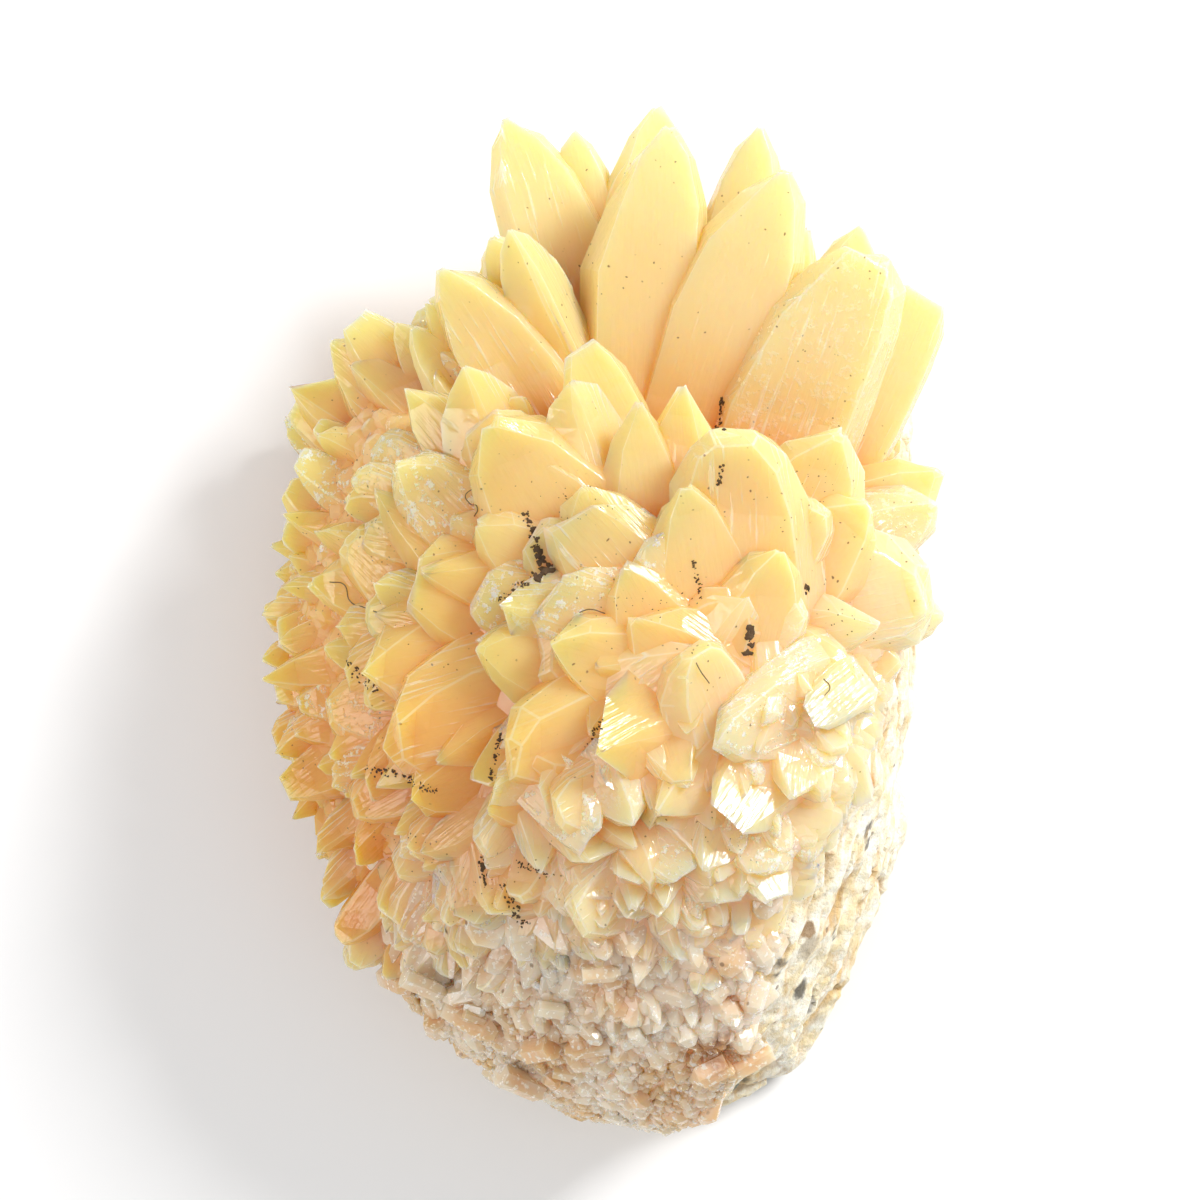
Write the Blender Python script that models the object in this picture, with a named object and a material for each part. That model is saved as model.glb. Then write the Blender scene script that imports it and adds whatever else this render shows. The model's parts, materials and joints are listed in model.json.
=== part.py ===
"""Hand specimen of calcite: dogtooth crystals that radiate from one centre, on a piece of pale layered rock.

Lengths are written in millimetres and turned into metres where a mesh is made.
+Z is up. The specimen lies on the flat broken back of its rock, at Z = 0.
+Y points along the long fan of crystals, and +X to the side where the rock is broken open.
"""
import math
import random
from collections import namedtuple

import bmesh
import bpy
from mathutils import Matrix, Vector

MM = 0.001

# The tips of the crystals lie near one dome, which is steeper to the right (+X), where the rock is broken.
DOME_TOP = 27.5
DOME_RIM = 4.0
APEX_X = 6.0
APEX_Y = -2.0
REACH_LEFT = 28.0
REACH_RIGHT = 20.0
REACH_UP = 40.0
REACH_DOWN = 31.5

# Crystals start deep inside, near the centre of the growth.
ROOT_LEVEL = 9.5
# No crystal rises more steeply than this, in degrees, so that each shows its broad flat face from above.
STEEPEST = 33.0
# Crystals near the middle are this much wider than their line in the lists says, and all are flatter.
STOUTER = 0.3
STOUT_WITHIN = 16.0
STOUT_ENDS = 26.0
FLATNESS = 0.82
LESS_TURN = 0.7
# The solid calcite between the crystals lies this far under their tips: further under the long fan at the
# upper end, and less under the fine druse.
BED_DEPTH = 7.0
FAN_DEPTH = 12.5
DRUSE_DEPTH = 1.6
DRUSE_STARTS_Y = -17.0
DRUSE_FULL_Y = -24.0

# Calcite over the rock: thick under the fan, thin towards the broken lower right side.
THICK_COVER = 17.0
THIN_COVER = 3.6
THINNEST_BED = 2.2
ROCK_STEP = 5.0
GAP = 0.45
LOWEST_CALCITE = 1.2
SLAB_WIDTH = 200.0
SLAB_DEPTH = 20.0
# The rock bulges a little above the spot that it rests on, and its broken side is uneven.
BULGE_HEIGHT = 1.8
UNDER_HEIGHT = 0.9
BULGE_SHARE = 0.97
ROUGH = 0.45
# Its rim lies inside its foot and just outside the calcite bed, and its side is fullest between the two.
RIM_SHARE = 0.94
RIM_SHOWS = 0.4
MIDDLE_SHARE = 0.58
SIDES_OF_A_LOFT = 36
ROCK_TURN = 3.7
BED_TURN = 0.9
SAME_PLACE = 0.001
SEED = 7

# Corners of the small flat spot that the specimen rests on, seen from above, anticlockwise.
FLAT_SPOT = [(14.5, 12.0), (-14.0, 2.0), (6.0, -25.0)]
# Outline of the rock round that spot, anticlockwise from the right.
ROCK_FOOT = [
    (20.6, 0.5), (20.4, 5.0), (20.6, 10.0), (20.4, 16.0), (18.0, 19.5), (12.0, 21.5), (5.0, 22.5),
    (-2.0, 22.0), (-8.5, 19.5), (-13.5, 15.0), (-16.5, 9.0), (-18.4, 2.0), (-18.6, -5.0), (-17.4, -11.0),
    (-15.0, -17.0), (-11.7, -22.5), (-6.6, -27.2), (-1.3, -30.0), (4.3, -31.2), (8.5, -32.2),
    (11.6, -30.8), (15.0, -26.3), (17.5, -20.5), (19.8, -15.2), (19.4, -11.2), (20.7, -5.3)]
# Outline of the calcite bed, which stops short of the rock on the lower right.
BED_FOOT = [
    (19.2, 1.0), (18.9, 8.0), (18.4, 15.0), (16.0, 19.0), (10.5, 22.0), (4.0, 23.2), (-3.0, 22.6),
    (-10.0, 19.0), (-15.2, 14.0), (-18.4, 7.0), (-19.8, 0.0), (-19.5, -6.0), (-17.8, -13.0),
    (-15.3, -20.2), (-12.4, -24.6), (-7.4, -29.0), (-2.2, -32.0), (3.5, -33.2), (7.8, -31.2),
    (9.2, -27.4), (9.9, -24.0), (11.6, -19.2), (13.4, -14.6), (15.7, -9.8), (17.4, -5.1)]

# One dogtooth: where its tip is, how far that is above the dome, the foot that its axis comes from,
# its width and thickness, its turn about its own axis in degrees, and how far its tip leans sideways.
Tooth = namedtuple("Tooth", "x y lift root_x root_y width thick turn lean")

FAN = [
    Tooth(-4.9, 31.9, 0.0, 4.6, -2.0, 7.0, 5.2, 10, -0.25),
    Tooth(-1.8, 30.8, -4.0, 3.0, -1.0, 4.7, 3.6, 0, 0.00),
    Tooth(3.0, 32.4, -3.5, 2.5, -1.0, 7.0, 4.7, 20, 0.05),
    Tooth(3.1, 30.8, 0.5, 1.8, -2.0, 8.0, 5.6, 5, 0.25),
    Tooth(10.2, 30.8, -3.0, 4.0, -1.0, 5.6, 4.4, -15, 0.00),
    Tooth(10.6, 28.4, 0.0, 1.4, -2.0, 8.6, 6.0, -10, 0.25),
    Tooth(12.9, 24.6, -4.5, 6.0, 1.0, 3.9, 3.1, 0, 0.00),
    Tooth(16.4, 24.7, -4.0, 8.0, 1.0, 6.0, 4.2, 15, -0.10),
    Tooth(15.2, 23.4, 0.5, 6.0, -3.0, 9.8, 6.5, -5, 0.30),
    Tooth(19.6, 21.0, -1.0, 7.6, -2.0, 7.6, 5.7, 10, 0.15),
]
UPPER_LEFT = [
    Tooth(-6.1, 24.3, 0.5, 5.0, 2.0, 4.4, 4.4, 25, 0.00),
    Tooth(-7.2, 24.1, -3.0, 3.0, 3.0, 4.9, 3.8, 0, 0.10),
    Tooth(-9.3, 22.5, 0.0, 4.5, 0.0, 7.6, 5.8, -10, -0.15),
    Tooth(-11.0, 19.9, -2.0, 0.0, 3.0, 3.5, 3.2, 0, 0.00),
    Tooth(-12.1, 18.3, -2.0, -1.0, 4.0, 3.5, 3.2, 20, 0.00),
    Tooth(-17.5, 17.8, -1.0, -2.0, 3.0, 6.2, 4.9, 0, 0.10),
    Tooth(-15.9, 18.7, -2.0, -2.0, 4.0, 5.4, 4.3, 30, 0.00),
    Tooth(-19.2, 15.6, 1.0, 1.0, -1.0, 9.8, 6.7, -15, -0.10),
    Tooth(-19.6, 13.8, -1.5, -2.0, 2.0, 4.3, 3.5, 0, 0.00),
    Tooth(-20.3, 12.7, -2.5, -4.0, 2.0, 4.9, 4.1, 20, 0.00),
    Tooth(-20.2, 8.0, -1.5, -3.0, -1.0, 5.1, 4.3, 40, 0.00),
    Tooth(-8.9, 16.0, 1.2, -2.0, -2.0, 6.0, 4.9, 15, 0.05),
    Tooth(-12.1, 15.2, 0.0, -1.0, 1.0, 5.8, 5.2, -20, 0.00),
    Tooth(-12.6, 10.8, 0.8, -0.5, -2.0, 7.3, 5.8, 10, -0.15),
]
CROWN = [
    Tooth(-6.1, 13.7, 0.8, 4.5, -4.0, 10.6, 7.0, 0, -0.20),
    Tooth(-2.6, 15.0, 0.2, 3.0, -3.0, 5.6, 4.8, 20, 0.05),
    Tooth(-1.8, 16.8, -0.8, 6.0, -1.0, 4.8, 3.3, 35, 0.00),
    Tooth(2.1, 13.8, -0.5, 4.0, -4.0, 4.8, 4.2, 10, 0.00),
    Tooth(4.6, 14.9, -0.5, 5.0, -3.0, 5.9, 4.8, -25, 0.20),
    Tooth(5.1, 8.8, 0.0, 7.0, -6.0, 5.9, 5.1, 15, -0.10),
    Tooth(8.9, 11.9, 1.5, 9.0, -4.0, 7.6, 6.3, -10, -0.15),
    Tooth(14.2, 12.5, 0.5, 7.0, -3.0, 8.4, 6.0, 5, 0.10),
    Tooth(10.5, 5.0, 0.0, 8.0, -4.0, 5.6, 5.1, 20, 0.00),
    Tooth(16.6, 8.0, 0.5, 7.0, -2.0, 7.0, 5.4, -10, 0.05),
    Tooth(4.8, -1.2, 0.0, 6.0, -5.0, 5.0, 5.1, 45, 0.00),
    Tooth(1.0, 4.0, -1.0, 5.0, -5.0, 5.9, 5.1, 10, 0.00),
    Tooth(-1.0, 9.0, -1.0, 4.0, -4.0, 6.4, 5.4, -15, 0.00),
]
RIGHT = [
    Tooth(21.1, 10.0, -2.5, 8.0, 1.0, 6.4, 4.8, 0, 0.10),
    Tooth(20.9, 7.9, -1.0, 7.0, 0.0, 6.1, 4.8, 15, 0.00),
    Tooth(20.5, 3.2, 1.0, 5.0, 1.0, 8.4, 6.6, -10, 0.20),
    Tooth(21.6, 0.7, -3.0, 8.0, -1.0, 4.6, 4.4, 10, 0.00),
    Tooth(17.6, 0.0, 0.0, 7.0, -1.0, 4.8, 4.4, 0, 0.00),
    Tooth(16.1, -2.8, 0.0, 7.0, -2.0, 4.4, 4.0, 20, 0.00),
    Tooth(19.0, -2.6, -3.5, 8.0, -2.0, 4.2, 3.6, -20, 0.00),
    Tooth(17.4, -5.6, -0.5, 10.0, -4.0, 5.0, 4.0, 15, 0.00),
]
LEFT = [
    Tooth(-18.7, 2.3, -0.5, 0.0, 0.0, 6.4, 5.1, 5, 0.10),
    Tooth(-11.6, 3.5, -0.5, 1.0, 1.0, 5.5, 4.5, -10, 0.00),
    Tooth(-15.7, -2.3, 0.5, 1.0, -0.5, 9.0, 6.6, 15, -0.15),
    Tooth(-7.0, 0.6, 0.0, 2.0, 0.0, 5.5, 4.5, 10, 0.10),
    Tooth(-3.7, -0.9, 0.0, 5.0, -4.0, 6.1, 4.8, -5, 0.10),
    Tooth(-8.2, -1.7, -0.5, 2.0, -4.0, 5.2, 4.5, 20, 0.00),
    Tooth(-17.0, -1.7, -2.0, -4.0, -1.0, 3.5, 3.0, 0, 0.00),
    Tooth(-13.8, -6.1, 0.5, 2.0, -3.0, 9.6, 6.9, -15, -0.10),
    Tooth(-17.6, -5.1, -1.0, -4.0, -3.0, 4.9, 3.9, 0, 0.00),
    Tooth(-19.4, -5.4, -1.5, -6.0, -4.0, 3.5, 3.0, 15, 0.00),
    Tooth(-19.5, -7.5, -1.5, -6.0, -5.0, 3.5, 3.0, 30, 0.00),
    Tooth(-17.5, -8.5, -0.5, -4.0, -4.0, 4.6, 3.9, 0, 0.00),
    Tooth(-16.0, -11.9, -0.5, -4.0, -6.0, 4.9, 4.2, 10, 0.00),
    Tooth(-12.6, -11.4, 0.0, -1.0, -6.0, 5.5, 4.5, -10, 0.10),
    Tooth(-13.5, -13.2, -0.5, -2.0, -8.0, 4.1, 3.6, 0, 0.00),
    Tooth(-12.7, -14.6, 0.0, -1.0, -9.0, 5.5, 4.5, 20, 0.00),
    Tooth(-13.4, -16.1, -0.5, -3.0, -9.0, 4.6, 3.9, 0, 0.00),
]
LOWER = [
    Tooth(-1.2, -8.6, 1.0, 7.5, -5.0, 8.7, 6.1, 10, 0.10),
    Tooth(5.8, -7.3, 0.5, 12.0, -5.0, 5.9, 4.6, -10, 0.00),
    Tooth(12.1, -6.2, 0.5, 15.0, -4.0, 5.6, 4.6, 15, 0.00),
    Tooth(-6.4, -7.9, 0.0, 3.0, -5.0, 7.0, 5.5, -20, 0.00),
    Tooth(-7.8, -11.6, -0.5, 1.0, -9.0, 4.8, 4.1, 0, 0.00),
    Tooth(-3.3, -11.9, 0.5, 5.0, -9.0, 5.3, 4.3, 15, 0.05),
    Tooth(2.5, -11.5, 0.5, 8.0, -8.0, 5.9, 4.6, -15, 0.00),
    Tooth(7.0, -12.5, 0.5, 10.0, -9.0, 5.3, 4.3, 10, 0.00),
    Tooth(11.2, -11.5, 0.5, 12.0, -8.0, 4.8, 4.1, 0, 0.00),
    Tooth(14.2, -9.0, 0.0, 13.0, -6.0, 4.4, 3.8, 25, 0.00),
    Tooth(9.4, -16.0, 0.3, 10.0, -12.0, 4.0, 3.4, 10, 0.00),
    Tooth(5.6, -15.6, 0.5, 8.0, -11.0, 4.6, 3.8, -10, 0.00),
    Tooth(-2.9, -15.6, -0.5, 3.0, -11.0, 4.2, 3.8, 20, 0.00),
    Tooth(1.9, -18.4, 0.5, 3.0, -10.0, 5.3, 4.1, 0, 0.05),
    Tooth(-2.4, -18.2, 0.5, 4.0, -14.0, 6.4, 4.9, -10, 0.00),
    Tooth(-8.8, -21.3, 0.0, -4.0, -11.0, 3.6, 3.5, 0, 0.00),
    Tooth(-7.2, -17.8, 0.5, -2.0, -15.0, 5.6, 4.3, 15, 0.00),
    Tooth(-13.4, -19.4, 0.0, -4.0, -11.0, 5.6, 4.6, 0, 0.00),
    Tooth(-13.8, -22.9, 0.0, -4.0, -13.0, 5.6, 4.6, 20, 0.00),
]

# Lower crystals between the large ones, laid out on a sunflower spiral over the dome.
FILLERS = 42
FILLER_LIFT = -2.5
FILLER_WIDTH = 5.4
FILLER_REACH_UP = 26.0
# Short crystals below the dome's rim, from under the fan round to the lower left.
SKIRT_START = 72.0
SKIRT_END = 232.0
SKIRT_ROWS = [(8.0, 14), (5.0, 12)]
SKIRT_WIDTH = 5.0
SKIRT_LENGTH = 9.0
# Low crystals that stand for the granular druse.
GRAINS = 20
GRAIN_WIDTH = 2.6
GRAIN_LENGTH = 4.0

# Half outline of a dogtooth: distance from the tip and breadth, both as shares of its width.
ARCH = [(0.32, 0.54), (1.05, 0.94)]
ROOT_BREADTH = 0.92
# The corners beside the flat front stand a little further in than the two at the sides.
FRONT_CORNER = 0.88
# A tooth's sides face away from this direction, so its flat front looks up and out.
OVERHEAD = (0.0, -0.25, 1.0)


def smoothstep(low, high, value):
    """Rises softly from 0 at low to 1 at high."""
    share = min(1.0, max(0.0, (value - low) / (high - low)))
    return share * share * (3.0 - 2.0 * share)


def dome(x, y):
    """Height of the surface that the crystals' tips follow."""
    reach_x = REACH_RIGHT if x > APEX_X else REACH_LEFT
    reach_y = REACH_UP if y > APEX_Y else REACH_DOWN
    square = ((x - APEX_X) / reach_x) ** 2 + ((y - APEX_Y) / reach_y) ** 2
    return DOME_RIM + (DOME_TOP - DOME_RIM) * math.sqrt(max(0.0, 1.0 - square))


def druse(y):
    """How much the growth at y is fine druse: 0 among the large crystals, 1 at the lower end."""
    return smoothstep(-DRUSE_STARTS_Y, -DRUSE_FULL_Y, -y)


def fan(x, y):
    """How much a place belongs to the long crystals at the upper end, from 0 to 1."""
    return smoothstep(7.0, 15.0, y + 0.25 * x)


def cover(x, y):
    """Thickness of calcite over the rock, from the tips down."""
    thin = smoothstep(6.0, 15.0, 0.5 * x - 0.7 * y)
    return THICK_COVER + (THIN_COVER - THICK_COVER) * thin


def bed(x, y):
    """Top of the solid calcite between the crystals."""
    depth = BED_DEPTH + (FAN_DEPTH - BED_DEPTH) * fan(x, y) + (DRUSE_DEPTH - BED_DEPTH) * druse(y)
    return dome(x, y) - min(depth, cover(x, y) - THINNEST_BED)


def rock_top(x, y):
    """Top of the rock under the calcite."""
    return max(ROCK_STEP, dome(x, y) - cover(x, y))


def reach(outline, angle):
    """Distance from the middle of the foot to an outline, along an angle."""
    along = Vector((math.cos(angle), math.sin(angle)))
    for index, first in enumerate(outline):
        start = Vector(outline[index - 1])
        side = Vector(first) - start
        across = along.x * side.y - along.y * side.x
        if abs(across) < 1e-9:
            continue
        distance = (start.x * side.y - start.y * side.x) / across
        share = (start.x * along.y - start.y * along.x) / across
        if distance > 0.0 and 0.0 <= share <= 1.0:
            return distance
    raise ValueError("the outline isn't closed round the middle")


def loft(bm, rings):
    """Closes a stack of rings of points, lowest first, into one solid with flat ends.

    Points of a ring that share a place become one corner."""
    rows = [[bm.verts.new(Vector(point) * MM) for point in ring] for ring in rings]
    for lower, upper in zip(rows, rows[1:]):
        for index in range(len(lower)):
            bm.faces.new((lower[index - 1], lower[index], upper[index], upper[index - 1]))
    bm.faces.new(list(reversed(rows[0])))
    bm.faces.new(rows[-1])
    bmesh.ops.remove_doubles(bm, verts=bm.verts[:], dist=SAME_PLACE * MM)
    bmesh.ops.triangulate(bm, faces=bm.faces[:])
    bmesh.ops.recalc_face_normals(bm, faces=bm.faces[:])


def angles(turn=0.0):
    """The directions of a loft's corners, turned so that no two lofts have their corners in line."""
    step = 2.0 * math.pi / SIDES_OF_A_LOFT
    return [step * index + math.radians(turn) for index in range(SIDES_OF_A_LOFT)]


def dome_ring(outline, share, height, grow=0.0, turn=0.0):
    """One ring of a loft: a share of an outline, at a height worked out from each place."""
    ring = []
    for angle in angles(turn):
        distance = reach(outline, angle) * share + grow
        x = distance * math.cos(angle)
        y = distance * math.sin(angle)
        ring.append((x, y, height(x, y)))
    return ring


def flat_spot(grow):
    """The foot ring: each of its points goes to the corner of the flat spot that lies its way."""
    ring = []
    for angle in angles(ROCK_TURN):
        along = Vector((math.cos(angle), math.sin(angle)))
        corner = max(FLAT_SPOT, key=lambda place: along.dot(Vector(place).normalized()))
        out = Vector(corner).normalized() * grow
        ring.append((corner[0] + out.x, corner[1] + out.y, -grow))
    return ring


def rock_rings(grow):
    """The rock from its flat foot to the top of its middle; grow makes the space that it lies in."""
    rng = random.Random(SEED)
    rough = [[rng.uniform(-ROUGH, ROUGH) for _ in angles()] for _ in range(2)]
    foot = flat_spot(grow)
    under = dome_ring(ROCK_FOOT, BULGE_SHARE, lambda x, y: UNDER_HEIGHT - grow, grow, ROCK_TURN)
    bulge = dome_ring(ROCK_FOOT, 1.0, lambda x, y: BULGE_HEIGHT, grow, ROCK_TURN)
    rim = []
    middle = []
    for index, angle in enumerate(angles(ROCK_TURN)):
        outer = reach(ROCK_FOOT, angle)
        inner = min(RIM_SHARE * outer, reach(BED_FOOT, angle) + RIM_SHOWS)
        x = inner * math.cos(angle)
        y = inner * math.sin(angle)
        top = rock_top(x, y)
        rim.append((x + grow * math.cos(angle), y + grow * math.sin(angle), top + grow))
        between = MIDDLE_SHARE * outer + (1.0 - MIDDLE_SHARE) * inner + rough[0][index] + grow
        height = 0.5 * (top + BULGE_HEIGHT) + rough[1][index]
        middle.append((between * math.cos(angle), between * math.sin(angle), height))
    rings = [foot, under, bulge, middle, rim]
    for share in (0.62, 0.3, 0.08):
        ring = []
        for x, y, _ in rim:
            ring.append((x * share, y * share, rock_top(x * share, y * share) + grow))
        rings.append(ring)
    return rings


def bed_rings():
    """The solid calcite between the crystals, from its hidden underside to the middle of the dome."""
    rings = [dome_ring(BED_FOOT, 0.90, lambda x, y: 2.0, 0.0, BED_TURN)]
    rings.append(dome_ring(BED_FOOT, 0.97, lambda x, y: 3.0, 0.0, BED_TURN))
    rings.append(dome_ring(BED_FOOT, 1.0, lambda x, y: max(4.0, bed(x, y)), 0.0, BED_TURN))
    for share in (0.85, 0.65, 0.4, 0.18, 0.05):
        rings.append(dome_ring(BED_FOOT, share, lambda x, y: max(4.5, bed(x, y)), 0.0, BED_TURN))
    return rings


def add_tooth(bm, tip, root, tooth):
    """Adds one dogtooth: six-sided rings round its axis that close in a pointed arch."""
    axis = (tip - root).normalized()
    side = axis.cross(Vector(OVERHEAD)).normalized()
    front = side.cross(axis)
    spin = Matrix.Rotation(math.radians(tooth.turn), 3, axis)
    side = spin @ side
    front = spin @ front
    length = (tip - root).length
    rings = [(share * tooth.width, breadth) for share, breadth in ARCH if share * tooth.width < 0.9 * length]
    rings.append((length, ROOT_BREADTH))
    points = [tip + side * tooth.lean * tooth.width * 0.5]
    for distance, breadth in rings:
        sideways = tooth.lean * tooth.width * 0.5 * max(0.0, 1.0 - distance / tooth.width)
        for corner in range(6):
            angle = math.radians(60.0 * corner)
            out = 1.0 if corner % 2 == 0 else FRONT_CORNER
            across = side * math.cos(angle) * out * breadth * tooth.width * 0.5
            deep = front * math.sin(angle) * out * breadth * tooth.thick * 0.5
            points.append(tip - axis * distance + across + deep + side * sideways)
    corners = [bm.verts.new(point * MM) for point in points]
    hull = bmesh.ops.convex_hull(bm, input=corners)
    bmesh.ops.delete(bm, geom=hull["geom_interior"] + hull["geom_unused"], context="VERTS")


def place_tooth(bm, tooth):
    """Adds a dogtooth of the lists above, with its height read from the dome."""
    tip = Vector((tooth.x, tooth.y, dome(tooth.x, tooth.y) + tooth.lift))
    run = math.hypot(tooth.x - tooth.root_x, tooth.y - tooth.root_y)
    level = max(ROOT_LEVEL, tip.z - run * math.tan(math.radians(STEEPEST)))
    add_tooth(bm, tip, Vector((tooth.root_x, tooth.root_y, level)), tooth)


def stouter(tooth):
    """A tooth of the lists above, widened if it stands near the middle, and flattened."""
    away = math.hypot(tooth.x - APEX_X, tooth.y - APEX_Y)
    wider = 1.0 + STOUTER * (1.0 - smoothstep(STOUT_WITHIN, STOUT_ENDS, away))
    thick = FLATNESS * tooth.thick
    return tooth._replace(width=wider * tooth.width, thick=thick, turn=LESS_TURN * tooth.turn)


def inside(outline, x, y, margin):
    """Whether a place lies inside an outline by a margin."""
    return math.hypot(x, y) + margin < reach(outline, math.atan2(y, x))


def add_fillers(bm, rng):
    """Fills the hollows between the large crystals with lower ones."""
    golden = math.pi * (3.0 - math.sqrt(5.0))
    for index in range(FILLERS):
        share = math.sqrt((index + 0.5) / FILLERS) * 0.94
        angle = index * golden
        x = APEX_X + share * math.cos(angle) * (REACH_RIGHT if math.cos(angle) > 0 else REACH_LEFT)
        y = APEX_Y + share * math.sin(angle) * (FILLER_REACH_UP if math.sin(angle) > 0 else REACH_DOWN)
        x += rng.uniform(-0.8, 0.8)
        y += rng.uniform(-0.8, 0.8)
        width = FILLER_WIDTH * rng.uniform(0.75, 1.25)
        turn = rng.uniform(-40, 40)
        lean = rng.uniform(-0.2, 0.2)
        lift = FILLER_LIFT + rng.uniform(-0.8, 0.8)
        if druse(y) > 0.3 or fan(x, y) > 0.7 or not inside(BED_FOOT, x, y, 0.5):
            continue
        root_x = APEX_X + 0.25 * (x - APEX_X)
        root_y = APEX_Y + 0.25 * (y - APEX_Y)
        place_tooth(bm, Tooth(x, y, lift, root_x, root_y, width, 0.65 * width, turn, lean))


def add_skirt(bm, rng):
    """Short crystals below the rim, which point outwards and finish the sides."""
    for level, count in SKIRT_ROWS:
        for index in range(count):
            share = (index + rng.uniform(0.25, 0.75)) / count
            angle = math.radians(SKIRT_START + (SKIRT_END - SKIRT_START) * share)
            foot = reach(BED_FOOT, angle)
            out = Vector((math.cos(angle), math.sin(angle), 0.0))
            width = SKIRT_WIDTH * rng.uniform(0.75, 1.2)
            tip = out * (foot + rng.uniform(1.0, 2.6))
            tip.z = level + rng.uniform(-0.7, 0.9)
            root = tip - out * SKIRT_LENGTH
            root.z = level + rng.uniform(-0.5, 1.0)
            turn = rng.uniform(-40, 40)
            lean = rng.uniform(-0.2, 0.2)
            add_tooth(bm, tip, root, Tooth(0, 0, 0, 0, 0, width, 0.8 * width, turn, lean))


def add_grains(bm, rng):
    """Low crystals over the druse at the lower end."""
    count = 0
    while count < GRAINS:
        x = rng.uniform(-14.0, 10.0)
        y = rng.uniform(-31.0, DRUSE_STARTS_Y - 2.0)
        if not inside(BED_FOOT, x, y, 1.2):
            continue
        tip = Vector((x, y, dome(x, y) + rng.uniform(-0.4, 0.5)))
        slope = Vector((x - APEX_X, y - APEX_Y, 18.0)).normalized()
        lean = Vector((rng.uniform(-0.4, 0.4), rng.uniform(-0.4, 0.4), 0.0))
        root = tip - (slope + lean).normalized() * GRAIN_LENGTH
        width = GRAIN_WIDTH * rng.uniform(0.7, 1.2)
        add_tooth(bm, tip, root, Tooth(0, 0, 0, 0, 0, width, width, rng.uniform(0, 60), 0.0))
        count += 1


def finish(name, bm, material=None):
    """Turns a bmesh into an object of the scene."""
    mesh = bpy.data.meshes.new(name)
    bm.to_mesh(mesh)
    bm.free()
    piece = bpy.data.objects.new(name, mesh)
    bpy.context.scene.collection.objects.link(piece)
    if material is not None:
        mesh.materials.append(material)
    return piece


def hide_helper(piece):
    """Marks a cutter or a guide, which isn't part of the specimen."""
    piece.hide_render = True
    piece.display_type = "WIRE"


def combine(piece, helper, operation):
    """Joins a helper to a piece, or cuts it out."""
    modifier = piece.modifiers.new(helper.name, "BOOLEAN")
    modifier.operation = operation
    modifier.solver = "EXACT"
    modifier.use_self = operation == "UNION"
    modifier.object = helper
    hide_helper(helper)


def principled(name, colour, roughness, transmission=0.0, ior=1.5):
    """A plain material with the piece's colour."""
    material = bpy.data.materials.new(name)
    material.use_nodes = True
    shader = material.node_tree.nodes["Principled BSDF"]
    shader.inputs["Base Color"].default_value = (*colour, 1.0)
    shader.inputs["Roughness"].default_value = roughness
    shader.inputs["Transmission Weight"].default_value = transmission
    shader.inputs["IOR"].default_value = ior
    return material


def clear_scene():
    """Starts from an empty scene."""
    for piece in list(bpy.data.objects):
        bpy.data.objects.remove(piece, do_unlink=True)


def make_rock():
    """The layered rock with its flat back."""
    bm = bmesh.new()
    loft(bm, rock_rings(0.0))
    return finish("rock_matrix", bm, principled("pale_rock", (0.78, 0.72, 0.60), 0.9))


def make_crystals():
    """All the calcite, as one solid that fits over the rock."""
    bed_mesh = bmesh.new()
    loft(bed_mesh, bed_rings())
    honey = principled("honey_calcite", (0.90, 0.72, 0.40), 0.35, transmission=0.2, ior=1.6)
    crystals = finish("calcite_crystals", bed_mesh, honey)

    rng = random.Random(SEED)
    teeth = bmesh.new()
    for tooth in FAN + UPPER_LEFT + CROWN + RIGHT + LEFT + LOWER:
        place_tooth(teeth, stouter(tooth))
    add_fillers(teeth, rng)
    add_skirt(teeth, rng)
    add_grains(teeth, rng)
    bmesh.ops.recalc_face_normals(teeth, faces=teeth.faces[:])
    combine(crystals, finish("all_teeth", teeth), "UNION")

    space = bmesh.new()
    loft(space, rock_rings(GAP))
    combine(crystals, finish("space_for_rock", space), "DIFFERENCE")

    slab = bmesh.new()
    below = Matrix.Translation((0.0, 0.0, (LOWEST_CALCITE - 0.5 * SLAB_DEPTH) * MM))
    size = Matrix.Diagonal((SLAB_WIDTH * MM, SLAB_WIDTH * MM, SLAB_DEPTH * MM, 1.0))
    bmesh.ops.create_cube(slab, size=1.0, matrix=below @ size)
    combine(crystals, finish("space_below", slab), "DIFFERENCE")
    return crystals


def main():
    clear_scene()
    make_rock()
    make_crystals()


main()
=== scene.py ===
# %% [markdown]
# # A hand specimen of honey calcite, rebuilt in Blender
#
# The specimen is a cluster of dogtooth crystals that grew outwards from one centre over pale, layered
# rock. It lies on the flat back of that rock, and the camera looks straight down at it.
#
# The first lines load the imported model. Its two solids give the sizes: every piece that is made below
# stands in for one of them.

# %% Load the imported model
import json
import math
import random
from collections import namedtuple

import bmesh
import bpy
import numpy as np
from mathutils import Matrix, Vector, noise
from mathutils.bvhtree import BVHTree

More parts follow.
